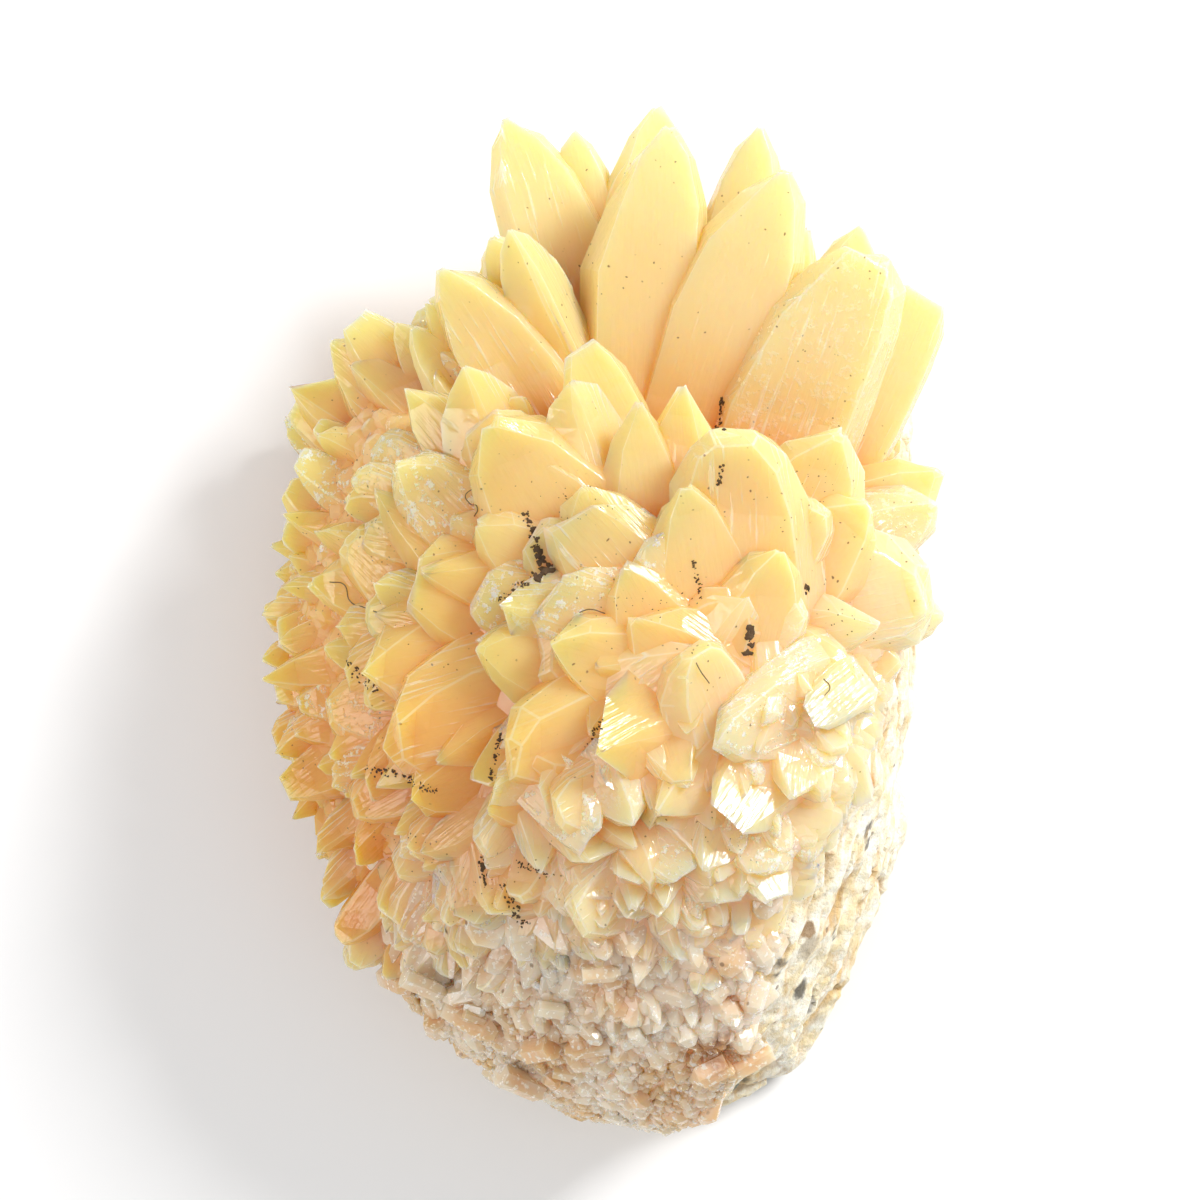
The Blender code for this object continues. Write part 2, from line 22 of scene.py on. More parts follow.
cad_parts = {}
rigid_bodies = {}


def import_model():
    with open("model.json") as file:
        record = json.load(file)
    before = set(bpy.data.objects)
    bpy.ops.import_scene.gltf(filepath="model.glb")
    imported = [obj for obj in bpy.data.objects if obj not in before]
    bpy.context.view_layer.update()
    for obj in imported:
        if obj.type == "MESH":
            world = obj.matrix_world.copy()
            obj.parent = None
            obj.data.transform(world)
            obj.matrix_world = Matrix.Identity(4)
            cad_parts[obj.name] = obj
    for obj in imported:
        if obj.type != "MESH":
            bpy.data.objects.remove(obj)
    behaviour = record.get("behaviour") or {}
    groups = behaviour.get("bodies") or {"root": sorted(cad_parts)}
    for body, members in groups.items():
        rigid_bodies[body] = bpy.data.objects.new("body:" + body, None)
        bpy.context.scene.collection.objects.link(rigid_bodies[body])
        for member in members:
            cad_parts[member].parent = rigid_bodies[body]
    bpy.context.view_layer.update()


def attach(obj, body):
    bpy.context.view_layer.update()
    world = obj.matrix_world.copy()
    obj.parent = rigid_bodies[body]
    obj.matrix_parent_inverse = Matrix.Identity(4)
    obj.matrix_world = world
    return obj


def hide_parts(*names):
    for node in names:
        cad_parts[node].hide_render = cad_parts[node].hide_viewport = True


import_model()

MM = 0.001

# %% [markdown]
# ## Working as by hand
#
# Operators act on whatever is selected, so each step starts by selecting one piece alone. Faces and
# edges are then picked in code, by their place or by where they point, which is what the mouse would do.

# %% Selecting and applying


def pick(piece):
    """Selects one piece alone and makes it the active one."""
    bpy.ops.object.select_all(action="DESELECT")
    piece.select_set(True)
    bpy.context.view_layer.objects.active = piece


def open_edit(piece, mode):
    """Opens a piece in edit mode with nothing selected, ready to pick points, edges or faces."""
    pick(piece)
    bpy.ops.object.mode_set(mode="EDIT")
    bpy.ops.mesh.select_mode(type=mode)
    bpy.ops.mesh.select_all(action="DESELECT")


def select_where(piece, kind, test):
    """Selects the points or faces of a piece in edit mode for which test is true."""
    shape = bmesh.from_edit_mesh(piece.data)
    for part in getattr(shape, kind):
        part.select_set(test(part))
    shape.select_flush_mode()
    bmesh.update_edit_mesh(piece.data)


def close_edit():
    """Leaves edit mode."""
    bpy.ops.object.mode_set(mode="OBJECT")


def apply_modifiers(piece):
    """Applies a piece's modifiers in order."""
    pick(piece)
    for modifier in list(piece.modifiers):
        bpy.ops.object.modifier_apply(modifier=modifier.name)


def triangles(piece):
    """How many triangles a piece has."""
    return sum(len(face.vertices) - 2 for face in piece.data.polygons)


# %% [markdown]
# ## The growth surface
#
# The tips of the crystals all lie near one dome. It is written once here, as a height over the plane,
# and everything that follows asks it how high to stand. The numbers are the specimen's own, in
# millimetres, and they are the same that its solids were built from.

# %% The dome of the tips
DOME_TOP = 27.5
DOME_RIM = 4.0
APEX = (6.0, -2.0)
REACH_LEFT = 28.0
REACH_RIGHT = 20.0
REACH_UP = 40.0
REACH_DOWN = 31.5
ROOT_LEVEL = 9.5


def smoothstep(low, high, value):
    """Rises softly from 0 at low to 1 at high."""
    share = min(1.0, max(0.0, (value - low) / (high - low)))
    return share * share * (3.0 - 2.0 * share)


def off_centre(x, y):
    """How far out a place lies on the dome: 0 at its top, 1 at its rim."""
    reach_x = REACH_RIGHT if x > APEX[0] else REACH_LEFT
    reach_y = REACH_UP if y > APEX[1] else REACH_DOWN
    return math.hypot((x - APEX[0]) / reach_x, (y - APEX[1]) / reach_y)


def dome(x, y):
    """Height of the surface that the tips follow, in millimetres."""
    return DOME_RIM + (DOME_TOP - DOME_RIM) * math.sqrt(max(0.0, 1.0 - off_centre(x, y) ** 2))


print("the dome is", dome(*APEX), "mm high over its middle")

# %% [markdown]
# ## Crystal forms
#
# A dogtooth is a six-sided blade: a broad flat face towards the viewer, two narrow slopes beside it, and
# a pointed arch at the tip. Each form starts as a six-sided cylinder one unit wide. Its corners are
# spread to widen the front face, and the arch is extruded from its end in steps that shrink. The forms
# differ in how pointed they end. They are modelled once, and every crystal is a stretched copy of one.

# %% Dogtooth forms
FORM_BODY = 3.0
SHOULDER = 1.15
FRONT_KEPT = 0.82
Form = namedtuple("Form", "name spread steps")
FORMS = [
    Form("pointed_arch", 1.50, [(0.62, 0.80, 0.80), (0.24, 0.47, 0.52), (0.02, 0.08, 0.10)]),
    Form("sharp_blade", 1.35, [(0.52, 0.58, 0.62), (0.02, 0.05, 0.08)]),
    Form("blunt_arch", 1.50, [(0.50, 0.86, 0.84), (0.18, 0.62, 0.60), (0.02, 0.30, 0.24)]),
    Form("chisel", 1.55, [(0.60, 0.86, 0.66), (0.24, 0.66, 0.36), (0.02, 0.40, 0.06)]),
    Form("ridged_blade", 0.30, [(0.62, 0.80, 0.84), (0.24, 0.48, 0.60), (0.02, 0.05, 0.10)]),
]


def dogtooth_form(form):
    """Models one form at the origin: tip at Z = 0, body downwards, width along X, thickness along Y."""
    bpy.ops.mesh.primitive_cylinder_add(
        vertices=6, radius=0.5, depth=FORM_BODY, end_fill_type="NGON",
        location=(0.0, 0.0, -SHOULDER - FORM_BODY / 2), rotation=(0.0, 0.0, math.radians(30.0)))
    piece = bpy.context.object
    piece.name = form.name
    pick(piece)
    bpy.ops.object.transform_apply(location=True, rotation=True, scale=True)
    open_edit(piece, "VERT")
    select_where(piece, "verts", lambda vert: abs(vert.co.y) > 0.4)
    bpy.ops.transform.resize(value=(form.spread, 1.15, 1.0))
    bpy.ops.mesh.select_mode(type="FACE")
    select_where(piece, "faces", lambda face: face.normal.z > 0.9)
    height = -SHOULDER
    breadth = thick = 1.0
    for distance, next_breadth, next_thick in form.steps:
        forward = -0.5 * FRONT_KEPT * (thick - next_thick)
        rise = {"value": (0.0, forward, -distance - height)}
        bpy.ops.mesh.extrude_region_move(TRANSFORM_OT_translate=rise)
        bpy.ops.transform.resize(value=(next_breadth / breadth, next_thick / thick, 1.0))
        height, breadth, thick = -distance, next_breadth, next_thick
    close_edit()
    return piece


forms = {form.name: dogtooth_form(form) for form in FORMS}
print("forms:", {name: len(piece.data.polygons) for name, piece in forms.items()})

# %% [markdown]
# ## Where each crystal stands
#
# The large crystals are the specimen's portrait, so each has a line of its own: where its tip is, how
# far that stands above the dome, the foot that its axis comes from, its width and thickness, its turn
# about its axis, how far the tip leans sideways, and which form it has. Lengths are in millimetres.

# %% The crystals by name of their place
Tooth = namedtuple("Tooth", "x y lift root_x root_y width thick turn lean form")

FAN = [
    Tooth(-4.9, 31.9, 0.0, 4.6, -2.0, 7.0, 5.2, 10, -0.38, "pointed_arch"),
    Tooth(-1.8, 30.8, -4.0, 3.0, -1.0, 4.7, 3.6, 0, 0.00, "pointed_arch"),
    Tooth(3.0, 32.4, -3.5, 2.5, -1.0, 7.0, 4.7, 20, 0.05, "pointed_arch"),
    Tooth(3.1, 30.8, 0.5, 1.8, -2.0, 8.0, 5.6, 5, 0.25, "pointed_arch"),
    Tooth(10.2, 30.8, -3.0, 4.0, -1.0, 5.6, 4.4, -15, 0.00, "pointed_arch"),
    Tooth(10.6, 28.4, 0.0, 1.4, -2.0, 8.6, 6.0, -10, 0.25, "pointed_arch"),
    Tooth(12.9, 24.6, -4.5, 6.0, 1.0, 3.9, 3.1, 0, 0.00, "sharp_blade"),
    Tooth(16.4, 24.7, -4.0, 8.0, 1.0, 6.0, 4.2, 15, -0.10, "pointed_arch"),
    Tooth(15.2, 23.4, 0.5, 6.0, -3.0, 9.8, 6.5, -5, 0.30, "blunt_arch"),
    Tooth(19.6, 21.0, -1.0, 7.6, -2.0, 7.6, 5.7, 10, 0.15, "chisel"),
]
UPPER_LEFT = [
    Tooth(-6.1, 24.3, 0.5, 5.0, 2.0, 4.4, 4.4, 25, 0.00, "ridged_blade"),
    Tooth(-7.2, 24.1, -3.0, 3.0, 3.0, 4.9, 3.8, 0, 0.10, "pointed_arch"),
    Tooth(-9.3, 22.5, 0.0, 4.5, 0.0, 7.6, 5.8, -10, -0.15, "pointed_arch"),
    Tooth(-11.0, 19.9, -2.0, 0.0, 3.0, 3.5, 3.2, 0, 0.00, "sharp_blade"),
    Tooth(-12.1, 18.3, -2.0, -1.0, 4.0, 3.5, 3.2, 20, 0.00, "pointed_arch"),
    Tooth(-17.3, 17.6, -1.0, -2.0, 3.0, 6.8, 4.9, 0, 0.10, "pointed_arch"),
    Tooth(-15.9, 18.7, -2.0, -2.0, 4.0, 5.4, 4.3, 30, 0.00, "chisel"),
    Tooth(-19.2, 15.6, 1.0, 1.0, -1.0, 9.8, 6.7, -15, -0.10, "ridged_blade"),
    Tooth(-19.6, 13.8, -1.5, -2.0, 2.0, 4.3, 3.5, 0, 0.00, "chisel"),
    Tooth(-20.3, 12.7, -2.5, -4.0, 2.0, 4.9, 4.1, 20, 0.00, "pointed_arch"),
    Tooth(-20.2, 8.0, -1.5, -3.0, -1.0, 5.1, 4.3, 40, 0.00, "blunt_arch"),
    Tooth(-8.9, 16.0, 1.2, -2.0, -2.0, 6.0, 4.9, 15, 0.05, "ridged_blade"),
    Tooth(-12.1, 15.2, 0.0, -1.0, 1.0, 5.8, 5.2, -20, 0.00, "sharp_blade"),
    Tooth(-12.6, 10.8, 0.8, -0.5, -2.0, 7.3, 5.8, 10, -0.15, "pointed_arch"),
]
CROWN = [
    Tooth(-6.1, 13.7, 0.8, 4.5, -4.0, 10.6, 7.0, 0, -0.20, "pointed_arch"),
    Tooth(-2.6, 15.0, 0.2, 3.0, -3.0, 5.6, 4.8, 20, 0.05, "ridged_blade"),
    Tooth(-1.8, 16.8, -0.8, 6.0, -1.0, 4.8, 3.3, 35, 0.00, "chisel"),
    Tooth(2.1, 13.8, -0.5, 4.0, -4.0, 4.8, 4.2, 10, 0.00, "sharp_blade"),
    Tooth(4.6, 14.9, -0.5, 5.0, -3.0, 5.9, 4.8, -25, 0.20, "sharp_blade"),
    Tooth(5.1, 8.8, 0.0, 7.0, -6.0, 5.9, 5.1, 15, -0.10, "pointed_arch"),
    Tooth(8.9, 11.9, 1.5, 9.0, -4.0, 7.6, 6.3, -10, -0.15, "blunt_arch"),
    Tooth(14.2, 12.5, 0.5, 7.0, -3.0, 8.4, 6.0, 5, 0.10, "pointed_arch"),
    Tooth(10.5, 5.0, 0.0, 8.0, -4.0, 5.6, 5.1, 20, 0.00, "pointed_arch"),
    Tooth(16.6, 8.0, 0.5, 7.0, -2.0, 7.0, 5.4, -10, 0.05, "pointed_arch"),
    Tooth(4.8, -1.2, 0.0, 6.0, -5.0, 5.0, 5.1, 45, 0.00, "blunt_arch"),
    Tooth(1.0, 4.0, -1.0, 5.0, -5.0, 5.9, 5.1, 10, 0.00, "pointed_arch"),
    Tooth(-1.0, 9.0, -1.0, 4.0, -4.0, 6.4, 5.4, -15, 0.00, "pointed_arch"),
]
RIGHT = [
    Tooth(21.1, 10.0, -2.5, 8.0, 1.0, 6.4, 4.8, 0, 0.10, "pointed_arch"),
    Tooth(20.9, 7.9, -1.0, 7.0, 0.0, 6.1, 4.8, 15, 0.00, "pointed_arch"),
    Tooth(20.5, 3.2, 1.0, 5.0, 1.0, 8.4, 6.6, -10, 0.20, "blunt_arch"),
    Tooth(21.6, 0.7, -3.0, 8.0, -1.0, 4.6, 4.4, 10, 0.00, "pointed_arch"),
    Tooth(17.6, 0.0, 0.0, 7.0, -1.0, 4.8, 4.4, 0, 0.00, "sharp_blade"),
    Tooth(16.1, -2.8, 0.0, 7.0, -2.0, 4.4, 4.0, 20, 0.00, "pointed_arch"),
    Tooth(19.0, -2.6, -3.5, 8.0, -2.0, 4.2, 3.6, -20, 0.00, "pointed_arch"),
    Tooth(17.0, -5.4, -1.2, 10.0, -4.0, 3.4, 3.0, 15, 0.00, "sharp_blade"),
]
LEFT = [
    Tooth(-18.7, 2.3, -0.5, 0.0, 0.0, 6.4, 5.1, 5, 0.10, "pointed_arch"),
    Tooth(-11.6, 3.5, -0.5, 1.0, 1.0, 5.5, 4.5, -10, 0.00, "sharp_blade"),
    Tooth(-15.7, -2.3, 0.5, 1.0, -0.5, 9.0, 6.6, 15, -0.15, "pointed_arch"),
    Tooth(-7.0, 0.6, 0.0, 2.0, 0.0, 5.5, 4.5, 10, 0.10, "ridged_blade"),
    Tooth(-3.7, -0.9, 0.0, 5.0, -4.0, 6.1, 4.8, -5, 0.10, "pointed_arch"),
    Tooth(-8.2, -1.7, -0.5, 2.0, -4.0, 5.2, 4.5, 20, 0.00, "pointed_arch"),
    Tooth(-17.0, -1.7, -2.0, -4.0, -1.0, 3.5, 3.0, 0, 0.00, "sharp_blade"),
    Tooth(-13.8, -6.1, 0.5, 2.0, -3.0, 9.6, 6.9, -15, -0.10, "blunt_arch"),
    Tooth(-17.6, -5.1, -1.0, -4.0, -3.0, 4.9, 3.9, 0, 0.00, "pointed_arch"),
    Tooth(-19.4, -5.4, -1.5, -6.0, -4.0, 3.5, 3.0, 15, 0.00, "blunt_arch"),
    Tooth(-19.5, -7.5, -1.5, -6.0, -5.0, 3.5, 3.0, 30, 0.00, "pointed_arch"),
    Tooth(-17.5, -8.5, -0.5, -4.0, -4.0, 4.6, 3.9, 0, 0.00, "pointed_arch"),
    Tooth(-16.0, -11.9, -0.5, -4.0, -6.0, 4.9, 4.2, 10, 0.00, "blunt_arch"),
    Tooth(-12.6, -11.4, 0.0, -1.0, -6.0, 5.5, 4.5, -10, 0.10, "pointed_arch"),
    Tooth(-13.5, -13.2, -0.5, -2.0, -8.0, 4.1, 3.6, 0, 0.00, "sharp_blade"),
    Tooth(-12.7, -14.6, 0.0, -1.0, -9.0, 5.5, 4.5, 20, 0.00, "pointed_arch"),
    Tooth(-13.4, -16.1, -0.5, -3.0, -9.0, 4.6, 3.9, 0, 0.00, "pointed_arch"),
]
LOWER = [
    Tooth(-1.2, -8.6, 1.0, 7.5, -5.0, 8.7, 6.1, 10, 0.10, "ridged_blade"),
    Tooth(5.8, -7.3, 0.5, 12.0, -5.0, 5.9, 4.6, -10, 0.00, "pointed_arch"),
    Tooth(12.1, -6.2, 0.5, 15.0, -4.0, 5.6, 4.6, 15, 0.00, "chisel"),
    Tooth(-6.4, -7.9, 0.0, 3.0, -5.0, 7.0, 5.5, -20, 0.00, "blunt_arch"),
    Tooth(-7.8, -11.6, -0.5, 1.0, -9.0, 4.8, 4.1, 0, 0.00, "pointed_arch"),
    Tooth(-3.3, -11.9, 0.5, 5.0, -9.0, 5.3, 4.3, 15, 0.05, "blunt_arch"),
    Tooth(2.5, -11.5, 0.5, 8.0, -8.0, 5.9, 4.6, -15, 0.00, "pointed_arch"),
    Tooth(7.0, -12.5, 0.5, 10.0, -9.0, 5.3, 4.3, 10, 0.00, "chisel"),
    Tooth(11.2, -11.5, 0.5, 12.0, -8.0, 4.8, 4.1, 0, 0.00, "pointed_arch"),
    Tooth(14.2, -9.0, 0.0, 13.0, -6.0, 4.4, 3.8, 25, 0.00, "pointed_arch"),
    Tooth(9.4, -16.0, 0.3, 10.0, -12.0, 4.0, 3.4, 10, 0.00, "blunt_arch"),
    Tooth(5.6, -15.6, 0.5, 8.0, -11.0, 4.6, 3.8, -10, 0.00, "pointed_arch"),
    Tooth(-2.9, -15.6, -0.5, 3.0, -11.0, 4.2, 3.8, 20, 0.00, "sharp_blade"),
    Tooth(1.9, -18.4, 0.5, 3.0, -10.0, 5.3, 4.1, 0, 0.05, "sharp_blade"),
    Tooth(-2.4, -18.2, 0.5, 4.0, -14.0, 6.4, 4.9, -10, 0.00, "blunt_arch"),
    Tooth(-8.8, -21.3, 0.0, -4.0, -11.0, 3.6, 3.5, 0, 0.00, "chisel"),
    Tooth(-7.2, -17.8, 0.5, -2.0, -15.0, 5.6, 4.3, 15, 0.00, "pointed_arch"),
    Tooth(-13.4, -19.4, 0.0, -4.0, -11.0, 5.6, 4.6, 0, 0.00, "blunt_arch"),
    Tooth(-13.8, -22.9, 0.0, -4.0, -13.0, 5.6, 4.6, 20, 0.00, "pointed_arch"),
]
PORTRAIT = FAN + UPPER_LEFT + CROWN + RIGHT + LEFT + LOWER
print(len(PORTRAIT), "crystals have a place of their own")

# %% [markdown]
# ## Growing a crystal from its form
#
# A copy of the form is scaled to the crystal's width and thickness, its root is pulled back to the
# foot of its axis, and the whole is turned to stand there. A crystal that is too short for its width
# shrinks, so that its foot stays inside the cluster. Three modifiers finish it: a plain subdivision gives
# a long crystal more points, a soft displacement makes the faces gently uneven, and a bevel rounds the
# edges. The bevel's faces go to a second material slot, because rubbed edges are frosted white.

# %% Growing one crystal
SEED = 7
STEEPEST = 33.0
SHORTEST = SHOULDER + 0.2
KEPT_IN = 0.9
FOOT_TAPER = 0.92
SHAKE = 0.022
FLATNESS = 0.82
TURN_KEPT = 0.7
STOUTER = 0.3
LONG = 9.0
EDGE_WIDTH = 0.00009
SHARP_EDGE = math.radians(18.0)
SWELL = 0.00012
SWELL_SIZE = 0.0022
swell_texture = bpy.data.textures.new("uneven_growth", "CLOUDS")
swell_texture.noise_scale = SWELL_SIZE
swell_texture.noise_depth = 2

honey = bpy.data.materials.new("honey_calcite")
frosted = bpy.data.materials.new("frosted_edge")
icy_druse = bpy.data.materials.new("icy_druse")
crystals_made = bpy.data.collections.new("crystals_made")
bpy.context.scene.collection.children.link(crystals_made)


def draw_along(mesh, width, thick):
    """Maps a crystal's faces in millimetres, across it and along it, for lines that run along it."""
    along = mesh.uv_layers.new(name="growth")
    for loop in mesh.loops:
        place = mesh.vertices[loop.vertex_index].co
        along.data[loop.index].uv = (place.x * width + place.y * thick, place.z * width)


def mark(mesh, name, value):
    """Gives every face of a mesh the same value under a name that the material reads."""
    mesh.attributes.new(name, "FLOAT", "FACE").data.foreach_set("value", [value] * len(mesh.polygons))


def stand(form_name, tip, root, width, thick, turn, lean, rng):
    """Returns a copy of a form that stands from root to tip; lengths in millimetres."""
    run = math.hypot(tip.x - root.x, tip.y - root.y)
    root = Vector((root.x, root.y, max(root.z, tip.z - run * math.tan(math.radians(STEEPEST)))))
    axis = (tip - root).normalized()
    end = tip - axis * SHORTEST * width
    if end.z + 0.5 * thick > dome(end.x, end.y):
        thick *= min(1.0, KEPT_IN * (tip - root).length / width)
        width = min(width, KEPT_IN * (tip - root).length)
    side = axis.cross(Vector((0.0, -0.25, 1.0))).normalized()
    front = axis.cross(side)
    spin = Matrix.Rotation(math.radians(turn), 3, axis)
    side = spin @ side
    front = spin @ front
    length = (tip - root).length / width
    mesh = forms[form_name].data.copy()
    points = np.empty(len(mesh.vertices) * 3)
    mesh.vertices.foreach_get("co", points)
    points = points.reshape(-1, 3)
    arch = np.clip(1.0 + points[:, 2] / SHOULDER, 0.0, None)
    points[:, 0] += 0.5 * lean * arch
    body = points[:, 2] < -SHOULDER - 0.5
    points[body, 2] = -max(length, SHORTEST)
    points[body, :2] *= FOOT_TAPER
    shake = np.array([[rng.uniform(-SHAKE, SHAKE) for _ in range(3)] for _ in points])
    points += shake * [1.0, 1.0, 2.0]
    mesh.vertices.foreach_set("co", points.ravel())
    draw_along(mesh, width, thick)
    turned = Matrix((side * width, front * thick, axis * width)).transposed().to_4x4()
    mesh.transform(Matrix.Translation(tip * MM) @ Matrix.Scale(MM, 4) @ turned)
    if turned.determinant() < 0.0:
        mesh.flip_normals()
    mesh.materials.append(honey)
    mesh.materials.append(frosted)
    mark(mesh, "tint", rng.random())
    piece = bpy.data.objects.new("crystal", mesh)
    crystals_made.objects.link(piece)
    return piece


def grow(piece, levels=None):
    """Gives a crystal its points, its uneven faces and its rubbed edges; short ones need no points."""
    if levels is None:
        first = piece.data.vertices[0].co
        levels = 1 if max((vert.co - first).length for vert in piece.data.vertices) > LONG * MM else 0
    finer = piece.modifiers.new("finer", "SUBSURF")
    finer.subdivision_type = "SIMPLE"
    finer.levels = finer.render_levels = levels
    uneven = piece.modifiers.new("uneven", "DISPLACE")
    uneven.texture = swell_texture
    uneven.texture_coords = "LOCAL"
    uneven.strength = SWELL
    rubbed = piece.modifiers.new("rubbed", "BEVEL")
    rubbed.width = EDGE_WIDTH
    rubbed.segments = 1
    rubbed.limit_method = "ANGLE"
    rubbed.angle_limit = SHARP_EDGE
    rubbed.material = 1


rng = random.Random(SEED)
for tooth in PORTRAIT:
    tip = Vector((tooth.x, tooth.y, dome(tooth.x, tooth.y) + tooth.lift))
    root = Vector((tooth.root_x, tooth.root_y, ROOT_LEVEL))
    from_top = math.hypot(tooth.x - APEX[0], tooth.y - APEX[1])
    stout = 1.0 + STOUTER * (1.0 - smoothstep(16.0, 26.0, from_top))
    crystal = stand(tooth.form, tip, root, stout * tooth.width, FLATNESS * tooth.thick,
                    TURN_KEPT * tooth.turn, tooth.lean, rng)
    grow(crystal, 2 if tooth in FAN + CROWN[:1] else 1)

# %% [markdown]
# ## Smaller crystals in between
#
# Between the large crystals there are many smaller ones. They are placed by rule: a sunflower spiral
# spreads the fillers evenly over the dome, others are strewn where the growth is fine, companions lean
# against the large crystals, and short ones below the rim finish the sides. A fixed seed gives the same
# cluster on every run.

# %% Outlines of the calcite bed and of the rock, in millimetres from above
BED_FOOT = [
    (19.2, 1.0), (18.9, 8.0), (18.4, 15.0), (16.0, 19.0), (10.5, 22.0), (4.0, 23.2), (-3.0, 22.6),
    (-10.0, 19.0), (-15.2, 14.0), (-18.4, 7.0), (-19.8, 0.0), (-19.5, -6.0), (-17.8, -13.0),
    (-15.3, -20.2), (-12.4, -24.6), (-7.4, -29.0), (-2.2, -32.0), (3.5, -33.2), (7.8, -31.2),
    (9.2, -27.4), (9.9, -24.0), (11.6, -19.2), (13.4, -14.6), (15.7, -9.8), (17.4, -5.1)]
ROCK_LINE = [(19.5, -2.6), (17.0, -6.0), (15.6, -9.5), (13.6, -13.0), (11.8, -16.5), (10.8, -20.5),
             (9.4, -24.0), (9.2, -27.0), (8.2, -29.4), (7.0, -31.5), (6.6, -34.0)]
BED_DEPTH = 5.6
FAN_DEPTH = 12.5
DRUSE_DEPTH = 1.2
THICK_COVER = 17.0
THIN_COVER = 3.6
THINNEST_BED = 2.2
LOWEST_BED = 4.2
NOT_NEAR_ROCK = -50.0


def reach(outline, angle):
    """Distance from the middle to an outline, along an angle."""
    along = Vector((math.cos(angle), math.sin(angle)))
    for index, first in enumerate(outline):
        start = Vector(outline[index - 1])
        side = Vector(first) - start
        across = along.x * side.y - along.y * side.x
        if abs(across) < 1e-9:
            continue
        distance = (start.x * side.y - start.y * side.x) / across
        share = (start.x * along.y - start.y * along.x) / across
        if distance > 0.0 and 0.0 <= share <= 1.0:
            return distance
    raise ValueError("the outline isn't closed round the middle")


def inside(x, y, margin):
    """Whether a place lies inside the bed's outline by a margin."""
    return math.hypot(x, y) + margin < reach(BED_FOOT, math.atan2(y, x))


def past_rock(x, y):
    """How far a place lies beyond the line where the bare rock begins, in millimetres."""
    for (upper_x, upper_y), (lower_x, lower_y) in zip(ROCK_LINE, ROCK_LINE[1:]):
        if lower_y <= y <= upper_y:
            share = (upper_y - y) / (upper_y - lower_y)
            return x - (upper_x + share * (lower_x - upper_x))
    return NOT_NEAR_ROCK


def druse(y):
    """How much the growth at y is fine druse: 0 among the large crystals, 1 at the lower end."""
    return smoothstep(19.0, 25.0, -y)


def fan(x, y):
    """How much a place belongs to the long crystals at the upper end, from 0 to 1."""
    return smoothstep(7.0, 15.0, y + 0.25 * x)


def cover(x, y):
    """Thickness of calcite over the rock, from the tips down."""
    thin = smoothstep(6.0, 15.0, 0.5 * x - 0.7 * y)
    return THICK_COVER + (THIN_COVER - THICK_COVER) * thin


def bed(x, y):
    """Top of the solid calcite between the crystals."""
    depth = BED_DEPTH + (FAN_DEPTH - BED_DEPTH) * fan(x, y) + (DRUSE_DEPTH - BED_DEPTH) * druse(y)
    return dome(x, y) - min(depth, cover(x, y) - THINNEST_BED)


def outwards(x, y):
    """The way a crystal at this place grows: away from the centre of the cluster."""
    return Vector((x - 0.25 * APEX[0], y - 0.25 * APEX[1], 0.9 * dome(x, y))).normalized()


print("bed height under the top of the dome:", round(bed(*APEX), 1), "mm")

# %% Fillers, companions and the skirt
FORM_NAMES = [form.name for form in FORMS]


def fill_hollows(count, lift, width, reach_up):
    """Lower crystals between the large ones, on a sunflower spiral over the dome."""
    golden = math.pi * (3.0 - math.sqrt(5.0))
    for index in range(count):
        share = math.sqrt((index + 0.5) / count) * 0.94
        angle = index * golden
        x = APEX[0] + share * math.cos(angle) * (REACH_RIGHT if math.cos(angle) > 0 else REACH_LEFT)
        y = APEX[1] + share * math.sin(angle) * (reach_up if math.sin(angle) > 0 else REACH_DOWN)
        x += rng.uniform(-0.8, 0.8)
        y += rng.uniform(-0.8, 0.8)
        broad = width * rng.uniform(0.7, 1.2) * (1.0 - 0.4 * smoothstep(9.0, 22.0, math.hypot(x + 2.0, y)))
        up = lift + rng.uniform(-0.5, 0.5)
        if druse(y) > 0.3 or fan(x, y) > 0.7 or not inside(x, y, 0.5):
            continue
        tip = Vector((x, y, dome(x, y) + up))
        root = Vector((APEX[0] + 0.25 * (x - APEX[0]), APEX[1] + 0.25 * (y - APEX[1]), ROOT_LEVEL))
        grow(stand(rng.choice(FORM_NAMES), tip, root, broad, 0.6 * broad, rng.uniform(-18, 18),
                   rng.uniform(-0.2, 0.2), rng))


def add_companions(teeth, each):
    """Small crystals that lean against the large ones, part way down their sides."""
    for tooth in teeth:
        tip = Vector((tooth.x, tooth.y, dome(tooth.x, tooth.y) + tooth.lift))
        axis = (tip - Vector((tooth.root_x, tooth.root_y, ROOT_LEVEL))).normalized()
        for _ in range(each):
            down = rng.uniform(0.55, 1.5) * tooth.width
            around = rng.uniform(0.0, 2.0 * math.pi)
            side = axis.orthogonal().normalized()
            side = Matrix.Rotation(around, 3, axis) @ side
            place = tip - axis * down + side * 0.42 * tooth.width
            broad = rng.uniform(0.32, 0.58) * tooth.width
            way = (axis + side * rng.uniform(0.05, 0.35)).normalized()
            grow(stand(rng.choice(FORM_NAMES), place, place - way * broad * 2.4, broad, 0.8 * broad,
                       rng.uniform(-60, 60), rng.uniform(-0.3, 0.3), rng))


def add_skirt(rows, start, end, width, length):
    """Short crystals below the rim, which point outwards and finish the sides."""
    for level, count in rows:
        for index in range(count):
            share = (index + rng.uniform(0.25, 0.75)) / count
            angle = math.radians(start + (end - start) * share)
            out = Vector((math.cos(angle), math.sin(angle), 0.0))
            broad = width * rng.uniform(0.6, 1.2)
            tip = out * (reach(BED_FOOT, angle) + rng.uniform(0.6, 2.4))
            tip.z = level + rng.uniform(-0.9, 0.9)
            root = tip - out * length
            root.z = level + rng.uniform(-0.5, 1.0)
            grow(stand(rng.choice(FORM_NAMES), tip, root, broad, 0.8 * broad, rng.uniform(-40, 40),
                       rng.uniform(-0.2, 0.2), rng))


